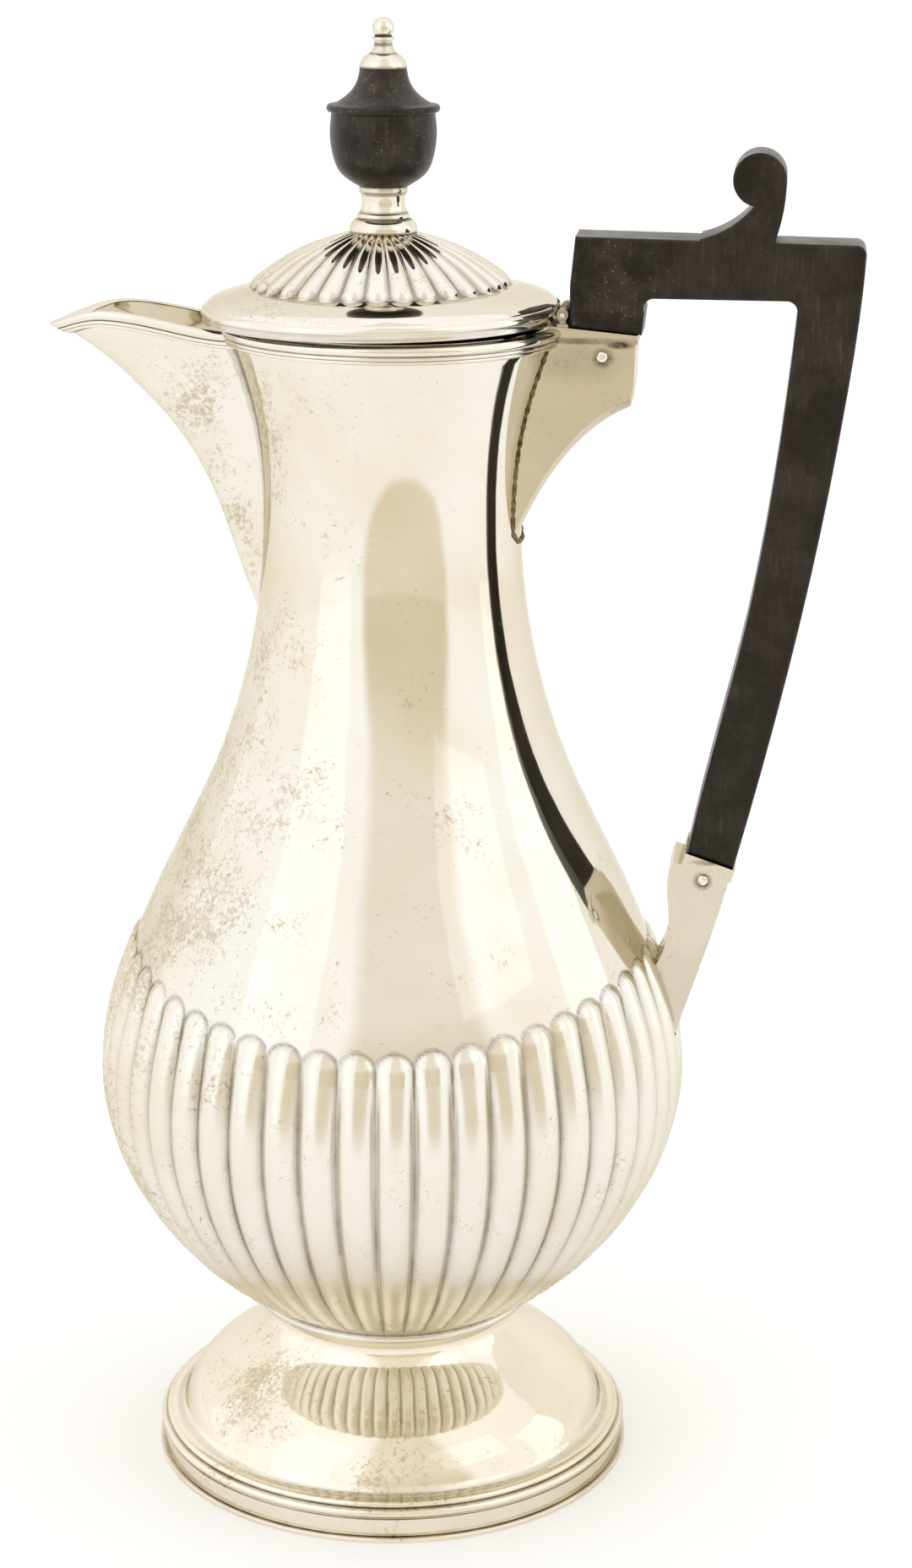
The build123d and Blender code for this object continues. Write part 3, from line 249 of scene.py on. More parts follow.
# Materials.
def silver(name, stains=(), halos=(), speckle=0.5, roughness=0.06, tone=None):
    """Sterling silver, raised, chased and hand polished: a warm bright metal under a thin uneven bloom.

    Stains and halos are (centre, radius for each axis, strength) in millimetres.
    """
    colours = bpy.context.scene.jug_colours
    material = bpy.data.materials.new(name)
    material.use_nodes = True
    tree = material.node_tree
    surface = tree.nodes["Principled BSDF"]
    place = add_node(tree, "ShaderNodeTexCoord").outputs["Object"]

    def within(centre, radius, strength, inside):
        """Strength near a centre, fading out at a radius for each axis."""
        offset = add_node(tree, "ShaderNodeVectorMath", {0: place, 1: [c * MM for c in centre]},
                          operation="SUBTRACT")
        scaled = add_node(tree, "ShaderNodeVectorMath", {0: offset, 1: [1 / (r * MM) for r in radius]},
                          operation="MULTIPLY")
        far = add_node(tree, "ShaderNodeVectorMath", {0: scaled}, operation="LENGTH")
        return add_node(tree, "ShaderNodeMapRange",
                        {"Value": far.outputs["Value"], "From Min": inside, "From Max": 1.0,
                         "To Min": strength, "To Max": 0.0}, interpolation_type="SMOOTHSTEP")

    def strongest(masks):
        """The largest of several masks."""
        most = masks[0]
        for mask in masks[1:]:
            most = add_node(tree, "ShaderNodeMath", {0: most, 1: mask}, operation="MAXIMUM")
        return most

    # Wide warm bloom, patches about 30 mm across.
    bloom = add_node(tree, "ShaderNodeTexNoise",
                     {"Vector": place, "Scale": 34.0, "Detail": 4.0, "Roughness": 0.55})
    bloom = add_node(tree, "ShaderNodeMapRange",
                     {"Value": bloom, "From Min": 0.42, "From Max": 0.68, "To Max": 0.85})
    colour = add_node(tree, "ShaderNodeMix",
                      {0: bloom, 6: srgb(tone or colours.silver), 7: srgb(colours.silver_warm)},
                      data_type="RGBA")
    # Sulphide speckle: grains of 0.3 to 1 mm, drawn in clouds about 12 mm across.
    grain = add_node(tree, "ShaderNodeTexNoise",
                     {"Vector": place, "Scale": 1100.0, "Detail": 3.0, "Roughness": 0.7})
    cloud = add_node(tree, "ShaderNodeTexNoise",
                     {"Vector": place, "Scale": 85.0, "Detail": 5.0, "Roughness": 0.65})
    level = add_node(tree, "ShaderNodeMath", {0: cloud, 1: 0.5}, operation="MULTIPLY")
    level = add_node(tree, "ShaderNodeMath", {0: grain, 1: 0.5, 2: level}, operation="MULTIPLY_ADD")
    if stains:
        spread = strongest([within(*stain, 0.15) for stain in stains])
        level = add_node(tree, "ShaderNodeMath", {0: spread, 1: 0.13, 2: level}, operation="MULTIPLY_ADD")
    spots = add_node(tree, "ShaderNodeMapRange",
                     {"Value": level, "From Min": 0.60, "From Max": 0.70, "To Max": speckle})
    if stains:
        # Where it has eaten in, the sulphide runs in fine crooked veins 2 mm apart.
        veins = add_node(tree, "ShaderNodeTexNoise",
                         {"Vector": place, "Scale": 430.0, "Detail": 1.5, "Distortion": 1.2})
        veins = add_node(tree, "ShaderNodeMath", {0: veins, 1: 0.5}, operation="SUBTRACT")
        veins = add_node(tree, "ShaderNodeMath", {0: veins}, operation="ABSOLUTE")
        veins = add_node(tree, "ShaderNodeMapRange",
                         {"Value": veins, "From Min": 0.008, "From Max": 0.028, "To Min": 0.7, "To Max": 0.0})
        patchy = add_node(tree, "ShaderNodeMapRange", {"Value": level, "From Min": 0.56, "From Max": 0.62})
        veins = add_node(tree, "ShaderNodeMath", {0: veins, 1: patchy}, operation="MULTIPLY")
        spots = strongest([spots, veins])
    colour = add_node(tree, "ShaderNodeMix", {0: spots, 6: colour.outputs[2], 7: srgb(colours.tarnish)},
                      data_type="RGBA")
    # Dark lines in the valleys and round the rivets, broken up in patches: partly sulphide and old polish
    # where the cloth missed, partly painted shade in the hollows and painted shadow under the socket collars.
    crease = add_node(tree, "ShaderNodeAttribute", attribute_name="crease").outputs["Fac"]
    if halos:
        ring = strongest([within(*halo, 0.3) for halo in halos])
        soot_and_shade_grain = add_node(tree, "ShaderNodeMapRange",
                        {"Value": grain, "From Min": 0.3, "From Max": 0.6, "To Min": 0.55, "To Max": 1.0})
        ring = add_node(tree, "ShaderNodeMath", {0: ring, 1: soot_and_shade_grain}, operation="MULTIPLY")
        crease = strongest([crease, ring])
    wear_and_shade_patches = add_node(tree, "ShaderNodeMapRange",
                    {"Value": cloud, "From Min": 0.3, "From Max": 0.6, "To Min": 0.45, "To Max": 0.95})
    dark = add_node(tree, "ShaderNodeMath", {0: crease, 1: wear_and_shade_patches}, operation="MULTIPLY", use_clamp=True)
    colour = add_node(tree, "ShaderNodeMix", {0: dark, 6: colour.outputs[2], 7: srgb(colours.crease)},
                      data_type="RGBA")
    tree.links.new(colour.outputs[2], surface.inputs["Base Color"])
    surface.inputs["Metallic"].default_value = 1.0
    surface.inputs["Specular Tint"].default_value = srgb(colours.silver)
    # Polished to a mirror, duller on the chased flutes, where it is stained and in the creases.
    chased = add_node(tree, "ShaderNodeAttribute", attribute_name="chased").outputs["Fac"]
    dull = add_node(tree, "ShaderNodeMath", {0: chased, 1: 0.19, 2: roughness}, operation="MULTIPLY_ADD")
    dull = add_node(tree, "ShaderNodeMath", {0: spots, 1: 0.25, 2: dull}, operation="MULTIPLY_ADD")
    dull = add_node(tree, "ShaderNodeMath", {0: dark, 1: 0.25, 2: dull}, operation="MULTIPLY_ADD")
    tree.links.new(dull.outputs[0], surface.inputs["Roughness"])
    # Hammer marks worn almost flat, about 20 mm apart, and hairline polish scratches.
    planish = add_node(tree, "ShaderNodeTexNoise",
                       {"Vector": place, "Scale": 50.0, "Detail": 2.0, "Roughness": 0.35})
    hairline = add_node(tree, "ShaderNodeTexNoise", {"Vector": place, "Scale": 1600.0, "Detail": 2.0})
    height = add_node(tree, "ShaderNodeMath", {0: hairline, 1: 0.006, 2: planish},
                      operation="MULTIPLY_ADD")
    bump = add_node(tree, "ShaderNodeBump", {"Strength": 1.0, "Distance": 0.00022, "Height": height})
    tree.links.new(bump.outputs["Normal"], surface.inputs["Normal"])
    return material


def ebony(name):
    """Ebony, sawn, scraped and oiled: brown black and half glossy, with fine grain, bloom and knocks."""
    colours = bpy.context.scene.jug_colours
    material = bpy.data.materials.new(name)
    material.use_nodes = True
    tree = material.node_tree
    surface = tree.nodes["Principled BSDF"]
    place = add_node(tree, "ShaderNodeTexCoord").outputs["Object"]
    # Upright grain lines about 0.5 mm apart and 10 mm long.
    along = add_node(tree, "ShaderNodeMapping", {"Vector": place, "Scale": (1.0, 1.0, 0.09)})
    grain = add_node(tree, "ShaderNodeTexNoise",
                     {"Vector": along, "Scale": 1500.0, "Detail": 4.0, "Roughness": 0.6, "Distortion": 0.3})
    patch = add_node(tree, "ShaderNodeTexNoise",
                     {"Vector": place, "Scale": 70.0, "Detail": 6.0, "Roughness": 0.7})
    lines = add_node(tree, "ShaderNodeMapRange",
                     {"Value": grain, "From Min": 0.52, "From Max": 0.74, "To Max": 0.6})
    # A grey bloom in patches about 15 mm across, strongest along the grain lines.
    haze = add_node(tree, "ShaderNodeMapRange", {"Value": patch, "From Min": 0.44, "From Max": 0.66})
    veil = add_node(tree, "ShaderNodeMath", {0: lines, 1: haze}, operation="MULTIPLY")
    veil = add_node(tree, "ShaderNodeMath", {0: haze, 1: 0.3, 2: veil}, operation="MULTIPLY_ADD",
                    use_clamp=True)
    # Warm red brown where the black heartwood thins, in patches about 10 mm across.
    heart = add_node(tree, "ShaderNodeTexNoise", {"Vector": along, "Scale": 120.0, "Detail": 3.0})
    warm = add_node(tree, "ShaderNodeMapRange",
                    {"Value": heart, "From Min": 0.5, "From Max": 0.7, "To Max": 0.7})
    # Pale pinpricks where the surface has been knocked, about 0.3 mm across and 1 mm apart, in patches.
    knock = add_node(tree, "ShaderNodeTexVoronoi", {"Vector": place, "Scale": 950.0, "Randomness": 1.0})
    prick = add_node(tree, "ShaderNodeMapRange",
                     {"Value": knock, "From Min": 0.08, "From Max": 0.22, "To Min": 0.8, "To Max": 0.0})
    thin = add_node(tree, "ShaderNodeMapRange", {"Value": patch, "From Min": 0.44, "From Max": 0.6})
    marks = add_node(tree, "ShaderNodeMath", {0: prick, 1: thin}, operation="MULTIPLY")
    # Most knocks and bloom are on the finial and on the handle's block, which the lid strikes.
    across = add_node(tree, "ShaderNodeSeparateXYZ", {0: place})
    struck = add_node(tree, "ShaderNodeMapRange",
                      {"Value": across.outputs["X"], "From Min": 40 * MM, "From Max": 52 * MM,
                       "To Min": 1.0, "To Max": 0.12}, interpolation_type="SMOOTHSTEP")
    marks = add_node(tree, "ShaderNodeMath", {0: marks, 1: struck}, operation="MULTIPLY")
    dusty = add_node(tree, "ShaderNodeMath", {0: struck, 1: 0.6, 2: 0.4}, operation="MULTIPLY_ADD")
    veil = add_node(tree, "ShaderNodeMath", {0: veil, 1: dusty}, operation="MULTIPLY")
    colour = add_node(tree, "ShaderNodeMix", {0: warm, 6: srgb(colours.ebony), 7: srgb("1F1612")},
                      data_type="RGBA")
    colour = add_node(tree, "ShaderNodeMix",
                      {0: veil, 6: colour.outputs[2], 7: srgb(colours.ebony_bloom)}, data_type="RGBA")
    colour = add_node(tree, "ShaderNodeMix", {0: marks, 6: colour.outputs[2], 7: srgb("857B72")},
                      data_type="RGBA")
    tree.links.new(colour.outputs[2], surface.inputs["Base Color"])
    surface.inputs["IOR"].default_value = 1.38
    surface.inputs["Specular Tint"].default_value = srgb("F2E6D8")
    sheen = add_node(tree, "ShaderNodeMapRange",
                     {"Value": patch, "From Min": 0.35, "From Max": 0.65, "To Min": 0.26, "To Max": 0.45})
    tree.links.new(sheen.outputs["Result"], surface.inputs["Roughness"])
    scrape = add_node(tree, "ShaderNodeMath", {0: marks, 1: -0.5, 2: grain}, operation="MULTIPLY_ADD")
    bump = add_node(tree, "ShaderNodeBump", {"Strength": 0.5, "Distance": 0.00014, "Height": scrape})
    tree.links.new(bump.outputs["Normal"], surface.inputs["Normal"])
    return material


# Where each silver is stained, sooty round the solder with painted shadow under the socket collars, duller or
# browner than the plain polish; the foot's lighter tone is painted light.
SILVERS = {
    "sterling_silver_raised_body": {
        "stains": (((-34, -10, 120), (40, 60, 75), 1.0), ((-28, -10, 195), (22, 60, 30), 0.8),
                   ((-46, -12, 60), (28, 60, 40), 0.7))},
    "sterling_silver_raised_spout": {
        "stains": (((-33, -10, 200), (9, 20, 14), 1.1), ((-29, -10, 186), (9, 20, 24), 1.2)),
        "speckle": 0.6},
    "sterling_silver_spun_foot": {
        "stains": (((-28, -26, 20), (24, 30, 20), 0.9), ((6, -36, 12), (26, 20, 8), 0.6)),
        # A lighter tone than the plain silver: painted light that brightens the foot where it reflects the
        # shaded floor.
        "tone": "F1E9D9"},
    "sterling_silver_drawn_wire": {"speckle": 0.6, "roughness": 0.1},
    "sterling_silver_chased_lid": {"stains": (((-22, -14, 221), (14, 18, 6), 0.8),)},
    "sterling_silver_soldered_socket": {
        "stains": (((48, 0, 104), (8, 14, 10), 1.0), ((40, 0, 203), (5, 9, 4), 1.1)),
        # The halos are soot round the rivets' solder, and painted shadow in the thin lines and patches under
        # and round the collars.
        "halos": (((37.5, 0, 210.5), (2.7, 40, 2.5), 1.3), ((40.4, 0, 212.9), (3.6, 40, 1.1), 1.2),
                  ((34.0, 0, 213.4), (16, 40, 0.9), 0.8), ((57.3, 0, 116.0), (2.2, 40, 2.2), 1.2),
                  ((58.2, 0, 119.6), (4, 40, 0.8), 0.9), ((33.0, 0, 209.5), (10, 40, 5.0), 0.28),
                  ((31.0, 0, 217.5), (4.5, 9, 4.0), 1.5)),
        "speckle": 0.6, "roughness": 0.16, "tone": "CFC6B3"},
    "silver_solder_blackened": {
        "stains": (((40, 0, 160), (60, 60, 90), 1.6),),
        "speckle": 0.95, "roughness": 0.35, "tone": "8C7A5E"},
}


def finish(name):
    """A material by name, made once and shared by the pieces that have it."""
    made = bpy.data.materials.get(name)
    if made is not None:
        return made
    return silver(name, **SILVERS[name]) if name in SILVERS else ebony(name)


# Body.
def body_relief(turn, span, radius, sizes, tops):
    """Relief and crease shade of the flutes at a turn from the front and a distance down the outline."""
    count = sizes.body_flutes
    pitch = 2 * pi / count
    number = round(turn / pitch)
    width = pitch * radius
    half = width * FLUTE_HALF
    across = (turn - number * pitch) * radius
    below = span - tops[number % count]
    depth = across if below >= 0 else hypot(across, below)
    # The valleys sink below the plain body, and the flutes are fullest a little under their round tips.
    valley = -VALLEY_DEPTH * ramp(below, -2.0, 10.0)
    # The crease is dark in the valleys, along the outline round each tip and towards a flute's sides: painted
    # shade in the hollows, with tarnish there too.
    if abs(depth) > half:
        outline = max(0.0, 1 - (abs(depth) - half) / 0.5) if below < 0 else 1.0
        return valley, 0.8 * outline
    swell = FLUTE_SWELL * ramp(below, -1.0, 13.0) * (1 - ramp(below, 14.0, 46.0))
    rise = lobe(depth, half, sizes.flute_rise * width + swell - valley) + valley
    return max(rise, valley - 0.1), 0.85 * (abs(depth) / half) ** 10


class JUG_OT_body(bpy.types.Operator):
    """Raised silver body: a bulb with convex flutes, a waisted neck and an open mouth"""
    bl_idname = "jug.body"
    bl_label = "Body"

    def execute(self, context):
        sizes = context.scene.jug_sizes
        count = sizes.body_flutes
        step = 2 * pi / count
        columns = count * BODY_COLUMNS
        turns = [2 * pi * i / columns for i in range(columns)]
        line = smooth_line(BODY_LINE, OUTLINE_POINTS)
        spans = lengths(line)
        line_radii, line_heights = np.array(line).T
        tops = []
        for k in range(count):
            height = (sizes.flute_top + sizes.flute_climb * sin(k * step) ** 2) / MM
            tops.append(spans[int(np.argmin(abs(line_heights - height)))])
        rows, span = [], 0.0
        while span < spans[-1]:
            rows.append(span)
            height = np.interp(span, spans, line_heights)
            span += next(gap for above, gap in ROW_GAPS if height > above)
        rows.append(spans[-1])
        radii = np.interp(rows, spans, line_radii)
        levels = np.interp(rows, spans, line_heights)
        # The mouth's rim, then down the outside.
        points = [from_front(MOUTH_RADIUS, turn, MOUTH_TOP) for turn in turns]
        shade, chased = [0.0] * columns, [0.0] * columns
        for k, (span, radius, level) in enumerate(zip(rows, radii, levels)):
            ahead, behind = min(k + 1, len(rows) - 1), max(k - 1, 0)
            dr, dz = radii[ahead] - radii[behind], levels[ahead] - levels[behind]
            size = hypot(dr, dz)
            out, up = -dz / size, dr / size
            fade = min(1.0, max(0.0, (level - FLUTES_END) / FLUTES_FADE))
            for turn in turns:
                rise = dark = 0.0
                if level < FLUTED_BELOW:
                    rise, dark = body_relief(turn, span, radius, sizes, tops)
                    rise *= fade
                    dark *= min(1.0, fade + 0.4)
                above_crease = level - CREASE_HEIGHT - CREASE_WAVE * cos(count * turn)
                rise -= CREASE_DEPTH * exp(-(above_crease / CREASE_WIDTH) ** 2)
                points.append(from_front(radius + out * rise, turn, level + up * rise))
                shade.append(dark)
                worked = level < FLUTED_BELOW and span > tops[round(turn / step) % count] + CHASED_FROM
                chased.append(1.0 if worked else 0.0)
        # Underside of the bowl, inside of the bowl and up the inner wall to the rim.
        under = smooth_line(BOWL_LINE, 8)[1:]
        inner = [(r, z + SHEET) for r, z in reversed(under)]
        wall = []
        for span in np.linspace(spans[-1] - 1.0, 0, WALL_ROWS):
            radius, level = np.interp(span, spans, line_radii), np.interp(span, spans, line_heights)
            wall.append((radius - SHEET * 0.97, level + (SHEET * 0.6 if level < 50 else 0)))
        wall.append((MOUTH_RADIUS - SHEET, MOUTH_TOP))
        for radius, level in under + inner + wall:
            points += [from_front(radius, turn, level) for turn in turns]
        plain = len(points) - len(shade)
        shade += [0.0] * plain
        chased += [0.0] * plain
        faces = []
        for face in ring_faces(len(points) // columns, columns, downward=True):
            x, y, z = (sum(points[c][axis] for c in face) / 4 for axis in range(3))
            behind_spout = x < 0 and abs(y) < spout_half(z) - SPOUT_OVERLAP
            if not behind_spout:
                faces.append(face)
        make_piece("jug_body", points, faces, "jug", finish("sterling_silver_raised_body"),
                   replaces=("body_shell",), smooth_angle=0, shade=shade, chased=chased)
        return {"FINISHED"}


# Spout: at each height, how far its nose is from the axis, and its half width.
SPOUT_SECTIONS = [(160.0, 23.4, 2.2), (170.6, 27.4, 4.8), (184.6, 32.4, 7.2), (196.6, 39.6, 9.2),
                  (204.6, 47.2, 10.6), (209.7, 53.4, 11.5), (212.6, 57.6, 11.9), (219.0, 60.0, 12.1)]
SPOUT_LOW, SPOUT_OPEN, SPOUT_HIGH = 163.0, 163.5, 218.0
# How far the neck's wall reaches past the spout's seam on each side.
SPOUT_OVERLAP = 0.55
SPOUT_BACK = 19.0
SPOUT_SHEET = 1.1
spout_heights, spout_noses, spout_halves = zip(*SPOUT_SECTIONS)
spout_nose_at = SmoothCurve(spout_heights, spout_noses)
spout_half_at = SmoothCurve(spout_heights, spout_halves)
neck_at = SmoothCurve(*zip(*[(z, r) for r, z in reversed(BODY_LINE)]))


def spout_half(height):
    """Half width of the opening behind the spout, where the skin meets the neck."""
    if height < SPOUT_OPEN:
        return 0.0
    return spout_half_at(min(height, SPOUT_HIGH)) * 0.97


def lip_height(distance):
    """Height of the lip at a distance out from the axis: it rises to a crest and falls to the tip."""
    crest = 49.5
    if distance < crest:
        t = max((distance - 27.5) / 22.0, 0)
        return 214.4 + 2.8 * t * t * (3 - 2 * t)
    t = (distance - crest) / 11.1
    return 217.2 - 4.9 * t * t


def spout_section(height, inset, count):
    """Level section of the spout from the neck round the nose and back."""
    nose, half = spout_nose_at(height) - 1.15 * inset, spout_half_at(height) - inset
    reach = nose - SPOUT_BACK
    side = [(-SPOUT_BACK, half), (-nose + 0.45 * reach, 0.74 * half), (-nose + 0.12 * reach, 0.45 * half)]
    line = smooth_line(side + [(-nose, 0)] + [(x, -y) for x, y in reversed(side)], 240)
    neck = neck_at(min(height, 212.6)) - SHEET * 0.5
    outside = [p for p in line if hypot(*p) > neck]
    if len(outside) < 4:
        # At the very bottom only the nose's tip stands clear of the neck.
        outside = line[110:130]
    given = np.array(outside)
    spans = lengths(given)
    spots = np.linspace(0, spans[-1], count)
    section = np.stack([np.interp(spots, spans, given[:, 0]), np.interp(spots, spans, given[:, 1])], 1)
    return section, spots, spans[-1]


class JUG_OT_spout(bpy.types.Operator):
    """Raised silver spout, soldered to the neck, with its reeded lip"""
    bl_idname = "jug.spout"
    bl_label = "Spout and lip"

    def execute(self, context):
        columns, rows = 121, 70
        low, nose = SPOUT_LOW, columns // 2
        levels = np.linspace(low, SPOUT_HIGH, 160)
        sections = {inset: [spout_section(h, inset, columns) for h in levels]
                    for inset in (0.0, SPOUT_SHEET)}

        def skin(inset, column, height):
            """Place on the outer or inner skin in a column at a height."""
            place = np.clip((height - low) / (levels[-1] - low) * (len(levels) - 1), 0, len(levels) - 1.001)
            k = int(place)
            part = place - k
            (a, spots, length), (b, _, _) = sections[inset][k], sections[inset][k + 1]
            x, y = a[column] * (1 - part) + b[column] * part
            # Solder runs out into the neck in a hollow fillet.
            near = min(spots[column], length - spots[column])
            if inset == 0.0 and near < 2.2:
                y += (1 if column < nose else -1) * 0.9 * (1 - near / 2.2) ** 2
            return x, y

        # Each column's top, found by halving.
        tops = []
        for i in range(columns):
            bottom, top = low + 1, SPOUT_HIGH
            for _ in range(24):
                middle = (bottom + top) / 2
                if middle < lip_height(-skin(0.0, i, middle)[0]) - 0.4:
                    bottom = middle
                else:
                    top = middle
            tops.append(bottom)
        points, faces, shade = [], [], []
        for inset in (0.0, SPOUT_SHEET):
            for k in range(rows):
                for i in range(columns):
                    height = low + (tops[i] - low) * (k / (rows - 1)) ** 0.85
                    points.append((*skin(inset, i, height), height))
                    near = min(i, columns - 1 - i)
                    # The skin darkens along its joint with the neck: dark solder there, and painted shade in
                    # the fillet.
                    seam_and_shade = 0.8 if near < 2 else (0.35 if near < 4 else 0.0)
                    shade.append(seam_and_shade if inset == 0.0 else 0.0)
        size = rows * columns
        for k in range(rows - 1):
            for i in range(columns - 1):
                a = k * columns + i
                b = a + size
                faces.append((a, a + 1, a + columns + 1, a + columns))
                faces.append((b, b + columns, b + columns + 1, b + 1))
        for i in range(columns - 1):
            a = (rows - 1) * columns + i
            faces.append((a, a + 1, a + size + 1, a + size))
        make_piece("spout_skin", points, faces, "jug", finish("sterling_silver_raised_spout"),
                   replaces=("spout",), smooth_angle=50, shade=shade)

        # Reeded lip: three reeds outside the skin, spreading into a flat beak at the tip.
        reeds = (arc_line((0.35, 0.0), (1.3, -0.85), (0.55, -1.7), 9)
                 + arc_line((0.55, -1.72), (0.98, -2.04), (0.42, -2.36), 7)
                 + arc_line((0.42, -2.38), (0.74, -2.7), (0.2, -3.0), 7))
        # The marks darken the lip between its reeds and where it meets the skin: painted shade in the
        # hollows, with tarnish there too.
        marks = {10: 1.0, 11: 0.9, 17: 1.0, 18: 0.9, 24: 0.8, 25: 0.9}
        edge = [Vector((*skin(0.0, i, tops[i]), tops[i] + 0.4)) for i in range(columns)]
        points, faces, shade = [], [], []
        for i, top in enumerate(edge):
            ahead, behind = edge[min(i + 1, columns - 1)], edge[max(i - 1, 0)]
            along = (ahead - behind).normalized()
            out = Vector((along.y, -along.x, 0)).normalized()
            if out.x > 0.2:
                out = -out
            if out.dot(Vector((top.x + 30, top.y, 0))) < 0:
                out = -out
            beak = max(0.0, 1 - abs(i - nose) / (columns * 0.2)) ** 1.5
            flare, shear, depth = 2.2 * beak, 0.15 + 0.6 * beak, 1 - 0.45 * beak
            inner = Vector((*skin(SPOUT_SHEET, i, tops[i]), tops[i] + 0.15))
            run = [inner, top + out * (flare - 0.2) + Vector((0, 0, -0.02))]
            for a, b in reeds:
                run.append(top + out * (flare + a + shear * b) + Vector((0, 0, b * depth)))
            bottom = max(low, tops[i] + 0.4 - 3.0 * depth)
            run.append(Vector((*skin(0.0, i, bottom), bottom)))
            points += [tuple(p) for p in run]
            shade += [marks.get(k, 0.0) for k in range(len(run))]
        ring = len(reeds) + 3
        for i in range(columns - 1):
            for k in range(ring - 1):
                a = i * ring + k
                faces.append((a, a + ring, a + ring + 1, a + 1))
        make_piece("spout_reeded_lip", points, faces, "jug", finish("sterling_silver_drawn_wire"),
                   replaces=("spout_lip_moulding",), smooth_angle=60, shade=shade)
        return {"FINISHED"}


class JUG_OT_mouth(bpy.types.Operator):
    """Drawn silver moulding of three reeds round the mouth, open where the spout's lip takes over"""
    bl_idname = "jug.mouth"
    bl_label = "Mouth moulding"

    def execute(self, context):
        r, start = 29.8, 212.1
        line = ([(28.0, start - 0.1)]
                + arc_line((r, start), (r + 0.45, start + 0.35), (r + 0.25, start + 0.7), 7)
                + arc_line((r + 0.25, start + 0.72), (r + 0.75, start + 1.05), (r + 0.5, start + 1.4), 7)
                + arc_line((r + 0.5, start + 1.42), (r + 1.2, start + 2.35), (r + 0.6, MOUTH_TOP), 9)
                + [(28.0, MOUTH_TOP - 0.01)])
        # The marks darken the moulding where it meets the neck and between its reeds: painted shade in the
        # hollows, with tarnish there too.
        marks = {0: 0.9, 1: 0.9, 7: 1.0, 8: 0.9, 14: 1.0, 15: 0.9}
        points, faces, shade = [], [], []
        gap = radians(23.6)
        steps, ring = 300, len(line)
        for i in range(steps + 1):
            turn = -pi + gap + (2 * pi - 2 * gap) * i / steps
            for k, (radius, height) in enumerate(line):
                points.append((radius * cos(turn), radius * sin(turn), height))
                shade.append(marks.get(k, 0.0))
        for i in range(steps):
            for k in range(ring):
                a, b = i * ring + k, i * ring + (k + 1) % ring
                faces.append((a, a + ring, b + ring, b))
        faces.append(tuple(range(ring)))
        faces.append(tuple(steps * ring + k for k in reversed(range(ring))))
        make_piece("mouth_reeds", points, faces, "jug", finish("sterling_silver_drawn_wire"),
                   replaces=("mouth_moulding",), smooth_angle=60, shade=shade)
        return {"FINISHED"}


class JUG_OT_foot(bpy.types.Operator):
    """Spun silver foot with its moulded rim and the thin ring at the joint"""
    bl_idname = "jug.foot"
    bl_label = "Foot"

    def execute(self, context):
        metal = finish("sterling_silver_spun_foot")
        outside = [(25.0, 31.9), (22.6, 27.6), (28.6, 20.5), (34.4, 16.4), (38.4, 12.0), (40.0, 8.4)]
        inside = [(39.0, 7.4), (37.55, 11.4), (33.8, 15.55), (27.9, 19.75), (21.6, 27.6), (22.4, 30.7)]
        cove = arc_line((40.0, 8.4), (41.2, 7.45), (42.6, 7.3), 8)[1:]
        line = ([(22.4, 31.6)] + smooth_line(outside, 70) + cove + [(42.6, 0.9), (41.6, 0.9), (41.6, 6.3)]
                + smooth_line(inside, 40))
        # The marks darken the dome under the joint wire and in the cove: painted shade, with tarnish there
        # too.
        turn_piece("foot_dome", line, "jug", metal, "foot_shell", 40,
                   marks={1: 0.5, 72: 0.25, 73: 0.25, 74: 0.25})
        # From the top down: a bead, a wider bead, a hollow, a plain band and the flange.
        r = 42.6
        line = (arc_line((r, 7.3), (r + 0.85, 6.95), (r + 0.75, 6.35), 8)
                + [(r + 0.6, 6.3), (r + 1.2, 6.2)]
                + arc_line((r + 1.25, 6.2), (r + 1.95, 5.5), (r + 1.45, 4.75), 10)
                + [(r + 1.2, 4.62), (r + 1.3, 4.45), (r + 1.6, 4.35), (r + 1.62, 1.25), (r + 1.5, 1.05)]
                + [(r + 1.3, 0.95), (r + 2.1, 0.9), (r + 2.32, 0.7), (r + 2.35, 0.35), (r + 2.2, 0.0)]
                + [(r - 1.0, 0.0), (r - 1.0, 0.9), (r, 0.9)])
        # The marks darken the grooves between the beads and over the flange: painted shade in the hollows,
        # with tarnish there too.
        turn_piece("foot_moulded_rim", line, "jug", metal, "foot_rim", 35, segments=320,
                   marks={0: 0.3, 7: 0.5, 8: 0.7, 9: 0.5, 10: 0.3, 19: 0.5, 20: 0.7, 21: 0.4, 24: 0.4,
                          25: 0.7, 26: 0.3})
        line = arc_line((25.0, 31.15), (26.5, 31.45), (25.6, 32.05), 9) + [(24.6, 31.8), (24.6, 31.3)]
        # The marks darken the wire's edges, where it meets the foot and the body: painted shade in the
        # joints, with tarnish there too.
        turn_piece("foot_joint_wire", line, "jug", finish("sterling_silver_drawn_wire"),
                   "foot_joint_ring", 60, marks={0: 0.8, **dict.fromkeys(range(1, 8), 0.1), 8: 0.9})
        return {"FINISHED"}


# Lid, from its own centre: it lies a little towards the spout and tips up a little at the hinge.
LID_PLACE, LID_TIP = Vector((-2.0, 0, 217.6)), -0.8
DOME_LINE = [(22.8, 4.1), (14.6, 9.7), (5.2, 13.3)]
FLANGE_LINE = [(31.0, 1.1), (30.3, 1.85), (28.8, 2.6), (26.0, 3.4), (22.8, 4.1)]
LID_FLUTES_START = 21.4
lid_matrix = Matrix.Translation(LID_PLACE * MM) @ Matrix.Rotation(radians(LID_TIP), 4, "Y")


